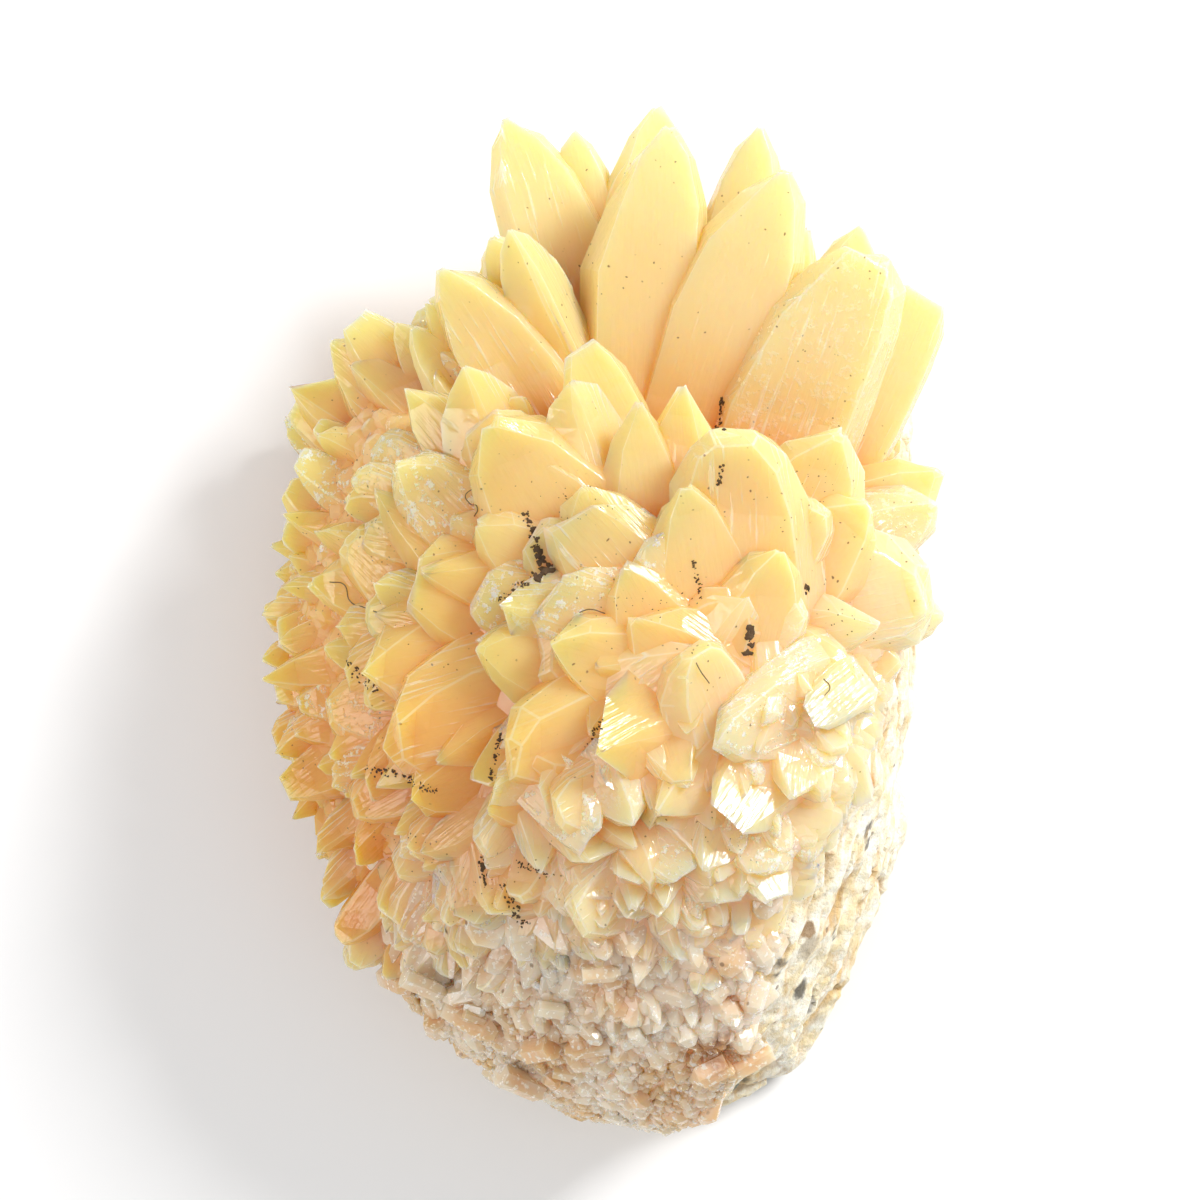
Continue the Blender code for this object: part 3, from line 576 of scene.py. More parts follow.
fill_hollows(count=54, lift=-1.5, width=8.4, reach_up=26.0)
fill_hollows(count=96, lift=-2.6, width=8.0, reach_up=30.0)


def scatter(count, low, high, keep, width, lift, icy=False):
    """Small crystals strewn over a part of the dome, where keep says so; they point outwards."""
    made = 0
    while made < count:
        x = rng.uniform(low[0], high[0])
        y = rng.uniform(low[1], high[1])
        if not keep(x, y) or not inside(x, y, 0.2) or past_rock(x, y) > -0.5:
            continue
        made += 1
        broad = width * rng.uniform(0.6, 1.4)
        tip = Vector((x, y, dome(x, y) + lift + rng.uniform(-0.7, 0.7)))
        way = outwards(x, y) + Vector([rng.uniform(-0.35, 0.35) for _ in range(3)])
        way.z *= 0.6
        crystal = stand(rng.choice(FORM_NAMES), tip, tip - way.normalized() * broad * 2.6, broad,
                        0.7 * broad, rng.uniform(-60, 60), rng.uniform(-0.3, 0.3), rng)
        grow(crystal)
        if icy and rng.random() < smoothstep(18.5, 25.0, -y):
            crystal.data.materials.append(icy_druse)
            for face in crystal.data.polygons:
                face.material_index = 2


scatter(60, (2.0, -20.0), (19.0, -3.0), lambda x, y: 0.5 * x - 0.7 * y > 9.5, width=3.6, lift=0.0)
scatter(26, (-18.0, -21.0), (4.0, -8.0), lambda x, y: y < -11.0 - 0.3 * x, width=4.6, lift=-0.5)
scatter(60, (-15.5, -23.0), (9.0, -16.0), lambda x, y: True, width=3.6, lift=-0.4, icy=True)
scatter(110, (-15.0, -27.5), (10.0, -18.0), lambda x, y: True, width=2.0, lift=-0.2, icy=True)
scatter(18, (-20.5, -14.0), (-12.0, 12.0), lambda x, y: x < -14.0, width=3.8, lift=-0.8)
add_companions(UPPER_LEFT + LEFT + LOWER, each=1)
add_skirt([(10.5, 18), (8.0, 22), (5.8, 26), (4.0, 30)], start=62.0, end=236.0, width=4.0, length=8.0)

# %% [markdown]
# ## The druse
#
# At the lower end, and thinly over the lower left, the calcite is a sugary crust of grains under a
# millimetre across. One grain is modelled, a stubby six-sided crystal with only a few faces, and some
# two thousand copies of it are pressed into the bed, each turned its own way.

# %% Grains of the druse
GRAINS = 2300
GRAIN_TRIES = 40000
GRAIN_SIZE = (0.4, 1.0)
BIG_GRAIN = 1.9
ICY_SLOT = 2
CALCITE_MATERIALS = (honey, frosted, icy_druse)
bpy.ops.mesh.primitive_cylinder_add(vertices=6, radius=0.5, depth=1.0, location=(0.0, 0.0, -0.75))
grain_form = bpy.context.object
grain_form.name = "grain_form"
pick(grain_form)
bpy.ops.object.transform_apply(location=True, rotation=True, scale=True)
open_edit(grain_form, "FACE")
select_where(grain_form, "faces", lambda face: face.normal.z > 0.9)
bpy.ops.mesh.extrude_region_move(TRANSFORM_OT_translate={"value": (0.0, 0.0, 0.24)})
bpy.ops.transform.resize(value=(0.42, 0.30, 1.0))
close_edit()


def press_grain(place, way, size, value, slot=ICY_SLOT):
    """Presses one grain into the bed, pointing the given way; slot is which of the materials it has."""
    turned = way.to_track_quat("Z", "Y").to_matrix().to_4x4()
    turned = turned @ Matrix.Rotation(rng.uniform(0.0, math.pi), 4, "Z")
    stretch = Matrix.Diagonal((size, size * rng.uniform(0.6, 1.0), size * rng.uniform(0.9, 1.9), 1.0))
    mesh = grain_form.data.copy()
    mesh.transform(Matrix.Scale(MM, 4) @ Matrix.Translation(place) @ turned @ stretch)
    for material in CALCITE_MATERIALS:
        mesh.materials.append(material)
    for face in mesh.polygons:
        face.material_index = slot
    mark(mesh, "tint", value)
    grains_made.objects.link(bpy.data.objects.new("grain", mesh))


grains_made = bpy.data.collections.new("grains_made")
bpy.context.scene.collection.children.link(grains_made)
tries = 0
while len(grains_made.objects) < GRAINS and tries < GRAIN_TRIES:
    tries += 1
    x = rng.uniform(-19.0, 12.0)
    y = rng.uniform(-33.5, -9.0)
    share = 0.02 + 0.98 * smoothstep(20.0, 24.0, -y + 0.10 * abs(x))
    if not inside(x, y, -0.4) or past_rock(x, y) > 0.0 or rng.random() > share:
        continue
    way = (outwards(x, y) + Vector([rng.uniform(-0.8, 0.8) for _ in range(3)])).normalized()
    size = rng.uniform(*GRAIN_SIZE) * (BIG_GRAIN if rng.random() > 0.88 else 1.0)
    press_grain(Vector((x, y, max(LOWEST_BED, bed(x, y)) + 0.75 * size)), way, size, rng.random())

# %% [markdown]
# ## One solid of calcite
#
# The crystals have grown together, so they are joined. The bed is a sphere that is pressed to the
# outline and the height of the growth. Boolean modifiers then add every crystal and grain to it. The
# manifold solver does this in a few seconds.

# %% The bed
BED_SIDES = 72
BED_RINGS = 40
BED_UNDERSIDE = 2.0
UNDERSIDE_RISE = 1.2
ON_THE_RIM = 1e-6
bpy.ops.mesh.primitive_uv_sphere_add(segments=BED_SIDES, ring_count=BED_RINGS, radius=1.0)
calcite = bpy.context.object
calcite.name = "calcite_growth"
for vert in calcite.data.vertices:
    flat = math.hypot(vert.co.x, vert.co.y)
    angle = math.atan2(vert.co.y, vert.co.x)
    share = min(1.0, 2.0 * math.asin(min(1.0, flat)) / math.pi)
    distance = reach(BED_FOOT, angle) * share
    x, y = distance * math.cos(angle), distance * math.sin(angle)
    top = max(LOWEST_BED, bed(x, y))
    bottom = BED_UNDERSIDE + UNDERSIDE_RISE * share
    height = 0.5 * (top + bottom)
    if abs(vert.co.z) > ON_THE_RIM:
        height = top if vert.co.z > 0.0 else bottom
    vert.co = Vector((x, y, height)) * MM
for material in CALCITE_MATERIALS:
    calcite.data.materials.append(material)
calcite.data.attributes.new("tint", "FLOAT", "FACE")
print("bed:", triangles(calcite), "triangles")

# %% [markdown]
# The sides of the bed, from the rim down to the rock, are coated with short stubby crystals. Each one is
# found by looking at the bed from outside. Where the rock is met first, nothing grows.

# %% Coated sides
WALL_TRIES = 5200
WALL_GRAIN_SIZE = (1.0, 2.6)
COVERED_LEFT = 0.72
COVERED_RIGHT = 0.42
RIGHT_SIDE = 12.0
FAR_OUT = 60.0
STONE_MARGIN = 0.0006
bed_skin = BVHTree.FromObject(calcite, bpy.context.evaluated_depsgraph_get())
rock_skin = BVHTree.FromObject(bpy.data.objects["rock_matrix"], bpy.context.evaluated_depsgraph_get())
for _ in range(WALL_TRIES):
    angle = rng.uniform(0.0, 2.0 * math.pi)
    slant = math.radians(rng.uniform(0.0, 50.0))
    level = rng.uniform(2.5, 17.0)
    out = Vector((math.cos(angle) * math.cos(slant), math.sin(angle) * math.cos(slant), math.sin(slant)))
    start = out * FAR_OUT + Vector((0.0, 0.0, level))
    hit, normal, _, away = bed_skin.ray_cast(start * MM, -out)
    stone = rock_skin.ray_cast(start * MM, -out)[3]
    if hit is None or (stone is not None and stone < away + STONE_MARGIN):
        continue
    place = hit / MM
    covered = off_centre(place.x, place.y) < (COVERED_LEFT if place.x < RIGHT_SIDE else COVERED_RIGHT)
    if covered or druse(place.y) > 0.5 and place.z > 7.0 and past_rock(place.x, place.y) < -1.0:
        continue
    size = rng.uniform(*WALL_GRAIN_SIZE)
    way = normal + Vector([rng.uniform(-0.55, 0.55) for _ in range(3)]) + out * 0.3
    icy = druse(place.y) > 0.3
    size *= 0.5 if icy else 1.0
    press_grain(place + normal * 0.42 * size, way.normalized(), size, rng.random(), ICY_SLOT if icy else 0)

# %% The union


def join_all(piece, collection):
    """Adds every object of a collection to a piece, as one solid."""
    union = piece.modifiers.new("union", "BOOLEAN")
    union.operation = "UNION"
    union.operand_type = "COLLECTION"
    union.collection = collection
    union.solver = "MANIFOLD"
    apply_modifiers(piece)


def clear_away(collection):
    """Removes the separate crystals once they are joined."""
    for piece in list(collection.objects):
        bpy.data.objects.remove(piece)


for collection in (crystals_made, grains_made):
    join_all(calcite, collection)
    clear_away(collection)
for form in list(forms.values()) + [grain_form]:
    bpy.data.objects.remove(form)
bpy.ops.object.select_all(action="DESELECT")
print("joined:", triangles(calcite), "triangles")

# %% [markdown]
# The crystals of the specimen overlap like slates, with shallow steps. So the relief is pressed
# together over the middle of the dome: every hollow keeps its shape and loses half its depth.

# %% Shallow relief
HOLLOW = 6.0
DEEP = 14.0
PRESSED = 0.52
MIDDLE_SHARE = (0.72, 0.95)
painted_shade_depths = []
for vert in calcite.data.vertices:
    x, y, z = vert.co / MM
    gap = dome(x, y) - z
    share = (1.0 - smoothstep(*MIDDLE_SHARE, off_centre(x, y))) * (1.0 - fan(x, y)) * (1.0 - druse(y))
    if gap > 0.0:
        raised = PRESSED * gap
        if gap >= HOLLOW:
            raised = PRESSED * HOLLOW * (1.0 - smoothstep(HOLLOW, DEEP, gap))
        gap -= share * raised
        vert.co.z = (dome(x, y) - gap) * MM
    # The depth under the dome is also kept as painted shade: the calcite's colour turns darker amber in the
    # deep hollows between crystals, less in the fan and near the rim.
    near_rim = smoothstep(0.75, 1.0, off_centre(x, y))
    painted_shade_depths.append(gap / BED_DEPTH * (1.0 - 0.75 * fan(x, y)) * (1.0 - 0.8 * near_rim))
calcite.data.attributes.new("depth", "FLOAT", "POINT").data.foreach_set("value", painted_shade_depths)
print("calcite:", triangles(calcite), "triangles")

# %% [markdown]
# ## The rock
#
# The rock that the calcite grew on shows as a broken, layered edge. Its solid is copied, merged and
# remeshed into small even faces, and then roughened: broad waves, grains, and layers that follow the
# growth surface.

# %% Rock with layers and grain
VOXEL = 0.00042
LAYER_DEPTH = 0.55
GRAIN_DEPTH = 0.34
WAVE_DEPTH = 0.5
CRACK_DEPTH = 0.5
FLAT_SPOT = 0.3
rock = bpy.data.objects.new("layered_rock", bpy.data.objects["rock_matrix"].data.copy())
bpy.context.scene.collection.objects.link(rock)
open_edit(rock, "VERT")
bpy.ops.mesh.select_all(action="SELECT")
bpy.ops.mesh.remove_doubles(threshold=1e-6)
close_edit()
finer = rock.modifiers.new("finer", "REMESH")
finer.mode = "VOXEL"
finer.voxel_size = VOXEL
apply_modifiers(rock)
hollows = []
for vert, normal in [(vert, vert.normal.copy()) for vert in rock.data.vertices]:
    place = vert.co / MM
    level = place.z - 0.75 * dome(place.x, place.y)
    layers = noise.noise(Vector((0.06 * place.x, 0.06 * place.y, 0.9 * level)))
    seams = abs(noise.noise(Vector((0.10 * place.x + 40.0, 0.10 * place.y, 0.45 * level))))
    grains = noise.noise(place * 1.1) * 0.6 + noise.noise(place * 3.2) * 0.25
    broad = noise.noise(place * 0.30)
    cracks = smoothstep(0.07, 0.0, seams) * smoothstep(0.4, 1.6, place.z)
    move = LAYER_DEPTH * layers + GRAIN_DEPTH * grains + WAVE_DEPTH * broad - CRACK_DEPTH * cracks
    if place.z < FLAT_SPOT:
        move = min(move, 0.0) * smoothstep(0.0, FLAT_SPOT, place.z)
    vert.co += normal * move * MM
    hollows.append(cracks + 0.6 * smoothstep(-0.05, -0.45, grains + layers))
rock.data.attributes.new("hollow", "FLOAT", "POINT").data.foreach_set("value", hollows)
skin = BVHTree.FromObject(calcite, bpy.context.evaluated_depsgraph_get())
stone_skin = BVHTree.FromObject(rock, bpy.context.evaluated_depsgraph_get())
print("rock:", triangles(rock), "triangles")

# %% [markdown]
# ## Finishes
#
# Shader maths is written as Python expressions. One small class wraps a socket, and each operator adds
# the Math node that it stands for.

# %% Shader helper


class Wire:
    """A socket of a material, which can be added, multiplied and compared like a number."""

    def __init__(self, finish, socket):
        self.finish = finish
        self.socket = socket

    def maths(self, operation, *others):
        values = dict(enumerate([self, *others]))
        return self.finish.node("ShaderNodeMath", {"operation": operation}, values)

    def __add__(self, other):
        return self.maths("ADD", other)

    def __sub__(self, other):
        return self.maths("SUBTRACT", other)

    def __mul__(self, other):
        return self.maths("MULTIPLY", other)

    def __truediv__(self, other):
        return self.maths("DIVIDE", other)

    __radd__ = __add__
    __rmul__ = __mul__

    def clamped(self):
        """Keeps the value between 0 and 1."""
        return self.finish.node("ShaderNodeClamp", {}, {0: self})

    def between(self, low, high):
        """Rises softly from 0 at low to 1 at high."""
        return self.finish.node("ShaderNodeMapRange", {"interpolation_type": "SMOOTHSTEP"},
                                {"Value": self, "From Min": low, "From Max": high})


class Finish:
    """The nodes of one material."""

    def __init__(self, material):
        material.use_nodes = True
        self.tree = material.node_tree
        self.shader = self.tree.nodes["Principled BSDF"]
        self.place = self.node("ShaderNodeTexCoord", {}, {}, "Object")

    def node(self, kind, settings, values, output=0):
        """Adds a node: its settings first, then the values or links of its sockets."""
        made = self.tree.nodes.new(kind)
        for name, value in settings.items():
            setattr(made, name, value)
        for name, value in values.items():
            self.link(made.inputs[name], value)
        return Wire(self, made.outputs[output])

    def link(self, socket, value):
        """Links a wire to a socket, or sets the socket's own value."""
        if isinstance(value, Wire):
            self.tree.links.new(value.socket, socket)
        elif socket.type == "RGBA":
            socket.default_value = (*value, 1.0)
        else:
            socket.default_value = value

    def set(self, **values):
        """Sets or links the shader's sockets; an underscore in a name stands for a space."""
        for name, value in values.items():
            self.link(self.shader.inputs[name.replace("_", " ")], value)

    def noise(self, scale, detail=4.0, roughness=0.5, distortion=0.0, place=None, output=0):
        """Noise over the piece; scale counts features per millimetre."""
        return self.node("ShaderNodeTexNoise", {}, {
            "Vector": place or self.place, "Scale": scale / MM, "Detail": detail,
            "Roughness": roughness, "Distortion": distortion}, output)

    def cells(self, scale, place=None):
        """Distance to the middles of scattered cells; scale counts cells per millimetre."""
        return self.node("ShaderNodeTexVoronoi", {},
                         {"Vector": place or self.place, "Scale": scale / MM}, "Distance")

    def stretched(self, place, stretch):
        """A place with its axes stretched, for noise that runs in lines."""
        return self.node("ShaderNodeVectorMath", {"operation": "MULTIPLY"}, {0: place, 1: stretch})

    def along(self, axis):
        """Where a place lies along one axis: 0 for X and 1 for Y."""
        return self.node("ShaderNodeSeparateXYZ", {}, {0: self.place}, axis)

    def named(self, name):
        """A value that the mesh carries under a name."""
        return self.node("ShaderNodeAttribute", {"attribute_name": name}, {}, "Fac")

    def spot(self, skin, x, y, radius):
        """A ragged round stain on a surface, seen from above; its place and radius are in millimetres."""
        ragged = self.noise(0.8, 4.0, 0.6)
        middle = skin.ray_cast(Vector((x, y, FAR_OUT)) * MM, Vector((0.0, 0.0, -1.0)))[0]
        away = self.node("ShaderNodeVectorMath", {"operation": "DISTANCE"},
                         {0: self.place, 1: middle}, "Value")
        return (away / (radius * MM) + 1.4 * ragged - 0.7).between(1.0, 0.6)

    def mix(self, share, first, second):
        """Blends two colours by a share."""
        return self.node("ShaderNodeMix", {"data_type": "RGBA"}, {0: share, 6: first, 7: second}, 2)

    def bump(self, height, depth):
        """A bump whose depth is counted in millimetres."""
        return self.node("ShaderNodeBump", {}, {"Height": height, "Distance": depth * MM})


print("shader helper ready")

# %% [markdown]
# ## Honey calcite
#
# The calcite is translucent: light goes in, wanders and comes out tinted. Subsurface scattering gives
# the honey glow, and a share of plain transmission lets the thin tips be seen through. Light and shade are
# also painted into its colour: paler towards the upper right, darker amber in the hollows and on the lower
# left, and white painted glints on some faces.

# %% Honey calcite
HONEY = (0.96, 0.55, 0.16)
PAINTED_SHADE_AMBER = (0.76, 0.28, 0.03)
PALE = (0.98, 0.75, 0.38)
CLEAR = (0.94, 0.74, 0.47)
RUBBED_WHITE = (0.99, 0.93, 0.78)
PAINTED_GLINT_WHITE = (0.99, 0.94, 0.84)
DARK_SPECK = (0.13, 0.06, 0.02)
CALCITE_IOR = 1.5
GLOW_DEPTH = 5.5
GLOW_BY_COLOUR = (1.0, 0.72, 0.32)
SEEN_THROUGH = 0.12


def calcite_finish(material, rubbed):
    """The calcite's finish; rubbed is how frosted and white it is, from 0 to 1."""
    finish = Finish(material)
    depth, tint = finish.named("depth"), finish.named("tint")
    x_way, y_way = finish.along(0), finish.along(1)
    cloud = finish.noise(0.13, 2.0)
    # Painted light: paler towards the upper right, where the window light falls, with random tone from the
    # cloud noise and each crystal's tint.
    painted_light_and_tone = (x_way * 0.8 + y_way) / (44.0 * MM) + 0.30 + 0.5 * (cloud - 0.5) + 0.24 * (tint - 0.5)
    colour = finish.mix(painted_light_and_tone.clamped(), HONEY, PALE)
    # Painted shade: darker amber where the surface lies deep under the dome, in the hollows between crystals.
    colour = finish.mix(depth.between(0.2, 0.9) * 0.8, colour, PAINTED_SHADE_AMBER)
    # Painted shade: darker amber towards the lower left, the side away from the window light.
    painted_shade_lower_left = ((x_way * -0.45 - y_way) / (26.0 * MM) + 0.35 * (cloud - 0.5)).between(0.2, 1.0)
    colour = finish.mix(painted_shade_lower_left * 0.85, colour, PAINTED_SHADE_AMBER)
    low_right = ((x_way * 0.7 - y_way) / (30.0 * MM) + 0.4 * (tint - 0.5)).between(-0.05, 0.65)
    colour = finish.mix(low_right * 0.75, colour, CLEAR)
    colour = finish.mix(rubbed, colour, RUBBED_WHITE)
    growth = finish.node("ShaderNodeUVMap", {"uv_map": "growth"}, {})
    lengthwise = finish.stretched(growth, (2.6 * MM, 0.22 * MM, 0.0))
    lines = finish.noise(1.0, 2.0, 0.6, place=lengthwise)
    steps = finish.noise(0.8, 2.0, 0.62) + 0.9 * lines
    patches = finish.noise(0.35, 1.0).between(0.42, 0.72)
    wander = finish.node("ShaderNodeVectorMath", {"operation": "MULTIPLY_ADD"}, {
        0: finish.noise(1.2, 1.0, output=1), 1: (0.5 * MM, 0.5 * MM, 0.5 * MM), 2: finish.place})
    specks = finish.cells(1.5, place=wander).between(0.14, 0.05) * finish.noise(0.22, 1.0).between(0.47, 0.58)
    colour = finish.mix(specks * 0.8, colour, DARK_SPECK)
    # Painted highlight: white patches on some crystals stand for glints; the same mask also makes them
    # rougher and bumpier, like frost.
    frost_and_painted_glint = tint.between(0.78, 0.88) * finish.noise(1.6, 3.0, 0.75).between(0.52, 0.64)
    frost_and_painted_glint = (frost_and_painted_glint + lines.between(0.56, 0.70) * tint.between(0.35, 0.5) * 0.6).clamped()
    colour = finish.mix(frost_and_painted_glint * 0.65, colour, PAINTED_GLINT_WHITE)
    finish.set(Base_Color=colour, Roughness=0.10 + 0.22 * rubbed + 0.14 * patches + 0.2 * frost_and_painted_glint,
               Normal=finish.bump(steps + 0.8 * frost_and_painted_glint, 0.08))
    finish.set(IOR=CALCITE_IOR, Specular_IOR_Level=0.6, Transmission_Weight=SEEN_THROUGH,
               Subsurface_Weight=1.0, Subsurface_Radius=GLOW_BY_COLOUR, Subsurface_Scale=GLOW_DEPTH * MM)


calcite_finish(honey, rubbed=0.0)
calcite_finish(frosted, rubbed=0.18)
print("honey calcite ready")

# %% [markdown]
# The druse is the same calcite in grains that are clear and loosely packed, so light leaves it after a
# shorter way. It looks paler and greyer, and each grain keeps its own glint and shadow.

# %% Icy druse
GRAIN_PALE = (0.91, 0.73, 0.55)
GRAIN_TAN = (0.80, 0.50, 0.27)
GRAIN_WHITE = (0.98, 0.92, 0.84)
BROWN_SPOT = (0.42, 0.17, 0.04)
DUST = (0.20, 0.12, 0.06)
DRUSE_GLOW_DEPTH = 2.2
finish = Finish(icy_druse)
place_noise = finish.noise(0.22, 3.0)
fleck = finish.noise(2.6, 3.0)
colour = finish.mix(place_noise.between(0.4, 0.62), GRAIN_PALE, GRAIN_TAN)
colour = finish.mix(fleck.between(0.52, 0.7) * 0.7, colour, GRAIN_WHITE)
colour = finish.mix(finish.spot(skin, x=7.1, y=-27.0, radius=1.6) * 0.85, colour, BROWN_SPOT)
dust = finish.cells(0.9).between(0.17, 0.11) * finish.noise(0.3, 2.0).between(0.48, 0.6)
colour = finish.mix(dust * 0.7, colour, DUST)
finish.set(Base_Color=colour, Roughness=0.08 + 0.22 * fleck.between(0.3, 0.7),
           Normal=finish.bump(finish.noise(1.6, 3.0), 0.06))
finish.set(IOR=CALCITE_IOR, Specular_IOR_Level=0.8, Transmission_Weight=0.15, Subsurface_Weight=0.75,
           Subsurface_Radius=(1.0, 0.75, 0.5), Subsurface_Scale=DRUSE_GLOW_DEPTH * MM)
print("icy druse ready")

# %% [markdown]
# The rock is matt and pale, with darker hollows, rusty and grey patches, streaks along its layers, and a
# few stains that have a place of their own.

# %% Pale rock
CREAM = (0.93, 0.89, 0.76)
SAND = (0.84, 0.70, 0.42)
HOLLOW_BROWN = (0.50, 0.31, 0.12)
RUST = (0.55, 0.30, 0.10)
GREY = (0.12, 0.11, 0.10)
STREAK_TAN = (0.72, 0.47, 0.17)
STREAK_WHITE = (0.98, 0.96, 0.88)
STREAK_TURN = math.radians(-23.0)
STREAK_STRETCH = (1.0, 0.10, 0.5)
ROCK_GLOW_DEPTH = 0.8
STAINS = [
    (12.6, -23.6, 0.9, (0.03, 0.03, 0.03)), (13.3, -24.8, 0.8, (0.30, 0.28, 0.25)),
    (16.6, -10.4, 0.8, (0.75, 0.38, 0.12)), (10.9, -16.2, 1.5, (0.62, 0.34, 0.12)),
    (13.0, -20.7, 1.1, (0.50, 0.42, 0.30)), (8.6, -30.6, 1.2, (0.10, 0.12, 0.09)),
    (12.8, -19.4, 0.7, (0.35, 0.20, 0.08)), (17.2, -6.5, 1.2, (0.70, 0.44, 0.20))]
pale_rock = bpy.data.materials.new("pale_rock_layers")
finish = Finish(pale_rock)
mottle = finish.noise(0.5, 5.0, 0.6)
grit = finish.noise(3.0, 4.0, 0.7)
colour = finish.mix(mottle.between(0.38, 0.66), CREAM, SAND)
colour = finish.mix(finish.named("hollow").between(0.25, 0.8) * 0.7, colour, HOLLOW_BROWN)
rust = finish.noise(0.16, 4.0, 0.6).between(0.60, 0.68)
colour = finish.mix(rust * 0.75, colour, RUST)
grey = finish.noise(0.20, 4.0, 0.6, distortion=0.4).between(0.66, 0.71)
colour = finish.mix(grey * 0.85, colour, GREY)
streaks = finish.node("ShaderNodeMapping", {}, {
    "Vector": finish.place, "Rotation": (0.0, 0.0, STREAK_TURN), "Scale": STREAK_STRETCH})
streak = finish.noise(0.9, 4.0, 0.6, place=streaks)
colour = finish.mix(streak.between(0.50, 0.68) * 0.75, colour, STREAK_TAN)
colour = finish.mix(streak.between(0.40, 0.30) * 0.6, colour, STREAK_WHITE)
for x, y, radius, stain in STAINS:
    colour = finish.mix(finish.spot(stone_skin, x, y, radius) * 0.85, colour, stain)
flecks = finish.cells(0.9).between(0.20, 0.12) * finish.noise(0.4, 2.0).between(0.5, 0.6)
colour = finish.mix(flecks * 0.7, colour, DUST)
finish.set(Base_Color=colour, Roughness=0.85, Normal=finish.bump(grit + mottle, 0.22))
finish.set(Subsurface_Weight=0.3, Subsurface_Radius=(1.0, 0.8, 0.5), Subsurface_Scale=ROCK_GLOW_DEPTH * MM)
rock.data.materials.clear()
rock.data.materials.append(pale_rock)
print("pale rock ready")

# %% [markdown]
# ## Dirt in the hollows, and a few fibres
#
# Dark grains of dirt have lodged between the crystals, and a few hairs of lint lie on them. The dirt is
# one small lump, copied along short lines. The fibres are thin curves with a round bevel, turned into
# meshes. Both are dropped onto the calcite from above, so they lie on it wherever it is.

# %% Dropping things onto the calcite
PIXELS_PER_MM = 16.0
MIDDLE = (602.0, 618.0)


def on_calcite(across, down, lift):
    """The place on the calcite under a point of the view, given in the view's 1200 pixels."""
    x, y = (across - MIDDLE[0]) / PIXELS_PER_MM, (MIDDLE[1] - down) / PIXELS_PER_MM
    hit = skin.ray_cast(Vector((x, y, FAR_OUT)) * MM, Vector((0.0, 0.0, -1.0)))[0]
    return None if hit is None else hit / MM + Vector((0.0, 0.0, lift))


HEAVY = 0.42
LIGHT = 0.17
FINE = 0.10
DIRT_STEP = 1.1
FINE_STEP = 3.0
FEWEST = 5
CROWDING = 1.4
Dirt = namedtuple("Dirt", "size spread route")
DIRT = [
    Dirt(0.30, 2.0, [(528, 516), (538, 540), (541, 556)]), Dirt(HEAVY, 3.2, [(538, 552), (546, 566)]),
    Dirt(HEAVY, 3.0, [(552, 570), (528, 582)]), Dirt(LIGHT, 2.0, [(528, 582), (498, 600)]),
    Dirt(HEAVY, 1.4, [(746, 626), (744, 654)]), Dirt(0.26, 1.4, [(721, 400), (719, 438)]),
    Dirt(0.26, 1.2, [(716, 470), (715, 490)]), Dirt(0.30, 1.6, [(799, 586), (802, 594)]),
    Dirt(0.24, 1.8, [(502, 730), (494, 775)]), Dirt(LIGHT, 1.8, [(601, 718), (588, 740)]),
    Dirt(0.26, 1.6, [(484, 850), (487, 882)]), Dirt(LIGHT, 2.0, [(520, 858), (552, 868)]),
    Dirt(0.22, 2.6, [(505, 880), (526, 922)]), Dirt(LIGHT, 3.2, [(350, 662), (380, 690)]),
    Dirt(0.22, 2.4, [(370, 768), (410, 772)]), Dirt(LIGHT, 2.2, [(410, 776), (445, 792)]),
    Dirt(LIGHT, 1.2, [(690, 562), (698, 600)]), Dirt(FINE, 9.0, [(600, 602), (700, 596)]),
    Dirt(FINE, 14.0, [(780, 500), (860, 470)]), Dirt(FINE, 9.0, [(820, 610), (880, 640)]),
    Dirt(FINE, 9.0, [(560, 500), (640, 520)]), Dirt(FINE, 9.0, [(700, 820), (740, 850)]),
    Dirt(FINE, 16.0, [(360, 820), (520, 900)]), Dirt(FINE, 14.0, [(340, 440), (420, 640)])]
bpy.ops.mesh.primitive_ico_sphere_add(subdivisions=1, radius=0.5)
lump = bpy.context.object
dirt_shape = bmesh.new()
for patch in DIRT:
    for start, end in zip(patch.route, patch.route[1:]):
        step = DIRT_STEP if patch.size > FINE else FINE_STEP
        for _ in range(max(FEWEST, int(math.dist(start, end) / step))):
            share = rng.random() ** CROWDING
            across = start[0] + share * (end[0] - start[0]) + rng.gauss(0.0, patch.spread)
            down = start[1] + share * (end[1] - start[1]) + rng.gauss(0.0, patch.spread)
            place = on_calcite(across, down, 0.0)
            if place is None:
                continue
            size = patch.size * rng.uniform(0.3, 1.0)
            stretch = Matrix.Diagonal((size * rng.uniform(0.6, 2.0), size, 0.5 * size, 1.0))
            turned = Matrix.Rotation(rng.uniform(0.0, math.pi), 4, "Z")
            copy = lump.data.copy()
            for vert in copy.vertices:
                vert.co *= rng.uniform(0.7, 1.2)
            copy.transform(Matrix.Scale(MM, 4) @ Matrix.Translation(place) @ turned @ stretch)
            dirt_shape.from_mesh(copy)
            bpy.data.meshes.remove(copy)
dirt_mesh = bpy.data.meshes.new("dark_dirt")
dirt_shape.to_mesh(dirt_mesh)
dirt_shape.free()
dirt = bpy.data.objects.new("dark_dirt", dirt_mesh)
bpy.context.scene.collection.objects.link(dirt)
bpy.data.objects.remove(lump)
print("dirt:", triangles(dirt), "triangles")

